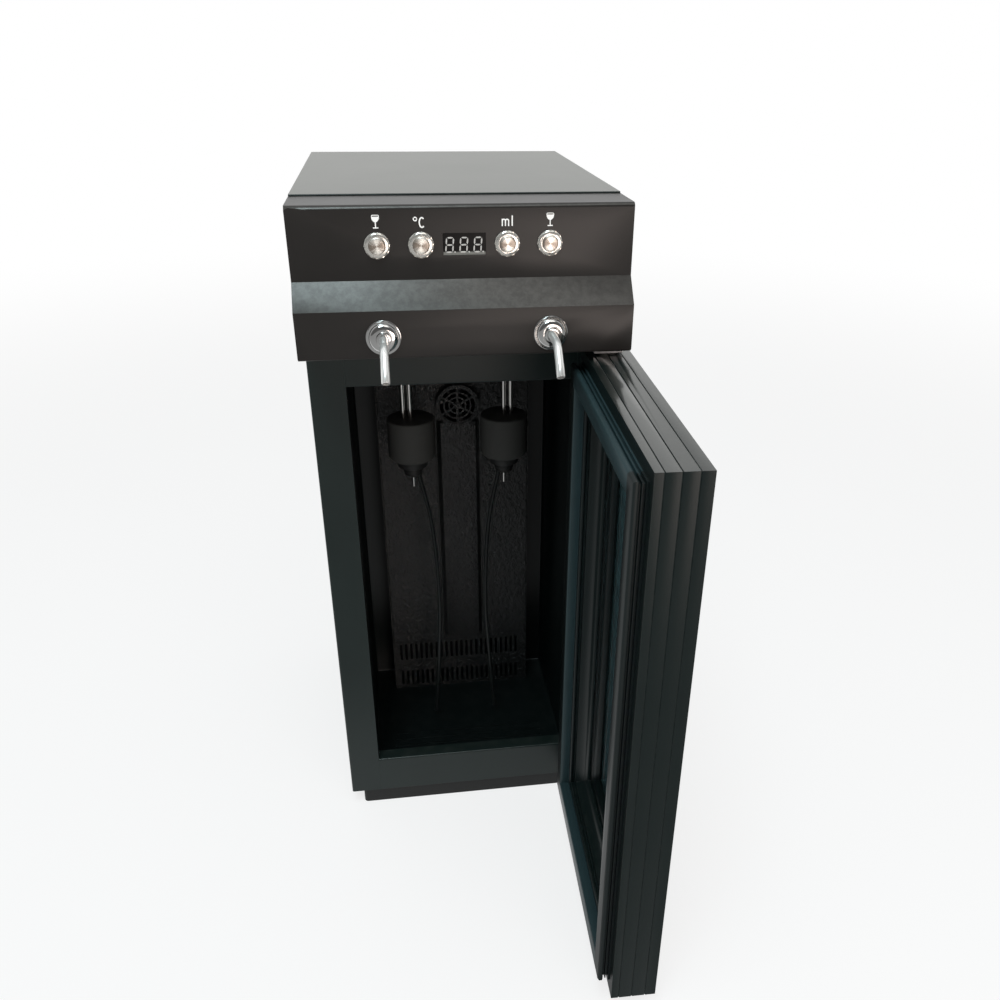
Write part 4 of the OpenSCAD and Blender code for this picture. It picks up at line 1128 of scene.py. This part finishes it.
BOWL = [(-2.7, 7.4), (-2.6, 6.6), (-2.3, 5.8), (-1.75, 5), (-1, 4.4), (0, 4.1), (1, 4.4), (1.75, 5),
        (2.3, 5.8), (2.6, 6.6), (2.7, 7.4)]
GLASS = [([Vector((x, 7.9)) for x, _ in BOWL], [Vector(p) for p in BOWL]),
         ribbon([(-2.5, 7.6), (-2.5, 8.5), (-2.1, 8.9), (2.1, 8.9), (2.5, 8.5), (2.5, 7.6)], 0.5),
         ribbon([(0, 4.4), (0, 0.4)], 0.75), ribbon([(-1.9, 0.35), (1.9, 0.35)], 0.7)]
CELSIUS = [ribbon(loop(-3.4, 6.1, 1.2, 1.2, 0, 345, 23), 0.75, True),
           ribbon(loop(1.3, 3.7, 1.8, 3.3, 46, 314), 0.95)]
MILLI = [ribbon([(-3.6, 0), (-3.6, 5)], 0.85),
         ribbon(loop(-2.45, 3.5, 1.15, 1.15, 180, 0) + [(-1.3, 0)], 0.85),
         ribbon(loop(-0.15, 3.5, 1.15, 1.15, 180, 0) + [(1, 0)], 0.85), ribbon([(3.6, 0), (3.6, 7.2)], 0.9)]
POUR_MARK_Z = 0.5832
MARKS = {"pour_mark_left": (GLASS, -BUTTON_X[1], POUR_MARK_Z),
         "pour_mark_right": (GLASS, BUTTON_X[1], POUR_MARK_Z),
         "celsius_mark": (CELSIUS, -BUTTON_X[0], 0.5831), "millilitre_mark": (MILLI, BUTTON_X[0], 0.5836)}
for name, (strokes, x, z) in MARKS.items():
    work = bmesh.new()
    for layer, (left, right) in enumerate(strokes):
        front_y = UPPER_Y - INK - mm(0.01) * layer
        edges = [[work.verts.new((x + mm(p.x), front_y, z + mm(p.y))) for p in side]
                 for side in (left, right)]
        faces = [work.faces.new((edges[0][i], edges[1][i], edges[1][i + 1], edges[0][i + 1]))
                 for i in range(len(left) - 1)]
        for part in bmesh.ops.extrude_face_region(work, geom=faces)["geom"]:
            if isinstance(part, bmesh.types.BMVert):
                part.co.y = UPPER_Y + mm(0.02)
    bmesh.ops.remove_doubles(work, verts=work.verts, dist=1e-6)
    bmesh.ops.recalc_face_normals(work, faces=work.faces)
    piece(name, work, "white_ink", "cabinet", smooth=20)
print("marks:", sorted(MARKS))

# %% [markdown]
# ## Machine parts
# The cooling unit, its two fans, the supply, the board and the gas parts sit behind or inside.
# Their CAD shapes are complete, so each only gets its finish, and those with visible edges
# get small radii.

# %% Machine parts
for node in ("insulation", "cold_fan_frame", "cold_fan_rotor", "cold_sink", "peltier_module", "hot_sink",
             "hot_fan_frame", "hot_fan_rotor", "fan_guard", "power_supply", "control_board", "gas_manifold"):
    dress(node)
softened("gas_inlet", 0.25)
softened("mains_inlet", 0.3)
softened("rocker_switch", 0.4)
print("dressed nodes:", sum(not o.hide_render for o in frame["nodes"].values()))

# %% [markdown]
# ## Floor, background and light
# A pale floor and a white surround make a plain product picture. The camera and clear parts
# see the surround at full white, while it lights the object more gently, and reflections see
# a room that is white behind the object and dark in front. Three soft lamps do the rest: one
# high at the left, which draws the bright band on the bevel, a weaker one high at the right,
# and a low warm one at the right front, which shows in the head's faces.

# %% Floor and world


def ray_kinds(graph):
    """Masks of the rays that see plain white, and of the mirrored ones."""
    rays = graph.tree.nodes.new("ShaderNodeLightPath")
    seen, through, glossy = (Wire(graph, rays.outputs[kind])
                             for kind in ("Is Camera Ray", "Is Transmission Ray", "Is Glossy Ray"))
    clear = (seen + through).limited()
    return clear, glossy * (1 - clear)


world = bpy.data.worlds.new("studio")
bpy.context.scene.world = world
world.use_nodes = True
surround = Graph(world.node_tree)
world.node_tree.nodes.clear()
clear, mirrored = ray_kinds(surround)
_, depth, _ = surround.parts(surround.add("ShaderNodeTexCoord"))
WORLD_LIGHT, ROOM_LIGHT, FLOOR_LIGHT = 0.5, 0.12, 0.32
FADE, UNDER_OBJECT = (0.8, 3.0), (-0.42, -0.2)
room = ROOM_LIGHT + depth.between(-0.6, 0.45) * (1 - ROOM_LIGHT)
level = WORLD_LIGHT + clear * (1 - WORLD_LIGHT) + mirrored * (room - WORLD_LIGHT)
backdrop = surround.add("ShaderNodeBackground", {"Color": (1, 1, 1, 1), "Strength": level})
surround.join(backdrop, world.node_tree.nodes.new("ShaderNodeOutputWorld").inputs[0])


def floor_white(shadow):
    """A pale floor that keeps its shadow at the given strength, and that mirrors see duller in front."""
    made = Finish("floor_white", Specular_IOR_Level=0.0, Roughness=0.9)
    made.set(Base_Color=made.blend(made.noise(300, 3), (0.93, 0.93, 0.93, 1), (0.95, 0.95, 0.95, 1)))
    clear, mirrored = ray_kinds(made)
    x, y, _ = made.parts(made.place)
    far = ((x * x + y * y) ** 0.5).between(*FADE)
    near_object = y.between(*UNDER_OBJECT)
    strength = 1 - mirrored * (1 - FLOOR_LIGHT) * (1 - near_object)
    lit = made.add("ShaderNodeEmission", {"Color": (1, 1, 1, 1), "Strength": strength})
    plain = clear * (1 - (1 - far) * shadow) + mirrored * 0.85
    mixed = made.add("ShaderNodeMixShader", {0: plain, 1: Wire(made, made.shader.outputs[0]), 2: lit})
    made.join(mixed, next(n for n in made.tree.nodes if n.type == "OUTPUT_MATERIAL").inputs[0])
    return made


REACH = 30
floor_mesh = bpy.data.meshes.new("floor")
floor_mesh.from_pydata([(x * REACH, y * REACH, 0) for x, y in ((-1, -1), (1, -1), (1, 1), (-1, 1))], [],
                       [(0, 1, 2, 3)])
floor = put("floor", floor_mesh)
floor_mesh.materials.append(floor_white(0.25).material)


def soft_lamp(name, at, target, size, radiance, colour):
    """A soft box that faces the target; radiance 1 looks as bright as white."""
    light = bpy.data.lights.new(name, "AREA")
    light.shape = "RECTANGLE"
    light.size, light.size_y = size
    light.energy = radiance * math.pi * size[0] * size[1]
    light.color = colour
    made = put(name, light)
    made.location = at
    made.rotation_euler = (Vector(target) - Vector(at)).to_track_quat("-Z", "Y").to_euler()
    made.visible_camera = False


soft_lamp("lamp_left", (-0.36, -0.97, 2.14), (-0.1, -0.2, 0.54), (0.6, 1.2), 8, (0.8, 0.96, 1.0))
soft_lamp("lamp_over", (0.42, -0.97, 2.14), (0.05, -0.2, 0.54), (0.9, 1.0), 1.6, (1.0, 0.98, 0.95))
soft_lamp("lamp_right", (0.58, -1.62, 0.33), (0.1, -0.2, 0.5), (0.9, 0.6), 4.5, (1.0, 0.86, 0.79))

# %% [markdown]
# ## Finish
# The render uses Blender's plain Standard view transform.

# %% View transform
bpy.context.scene.view_settings.view_transform = "Standard"
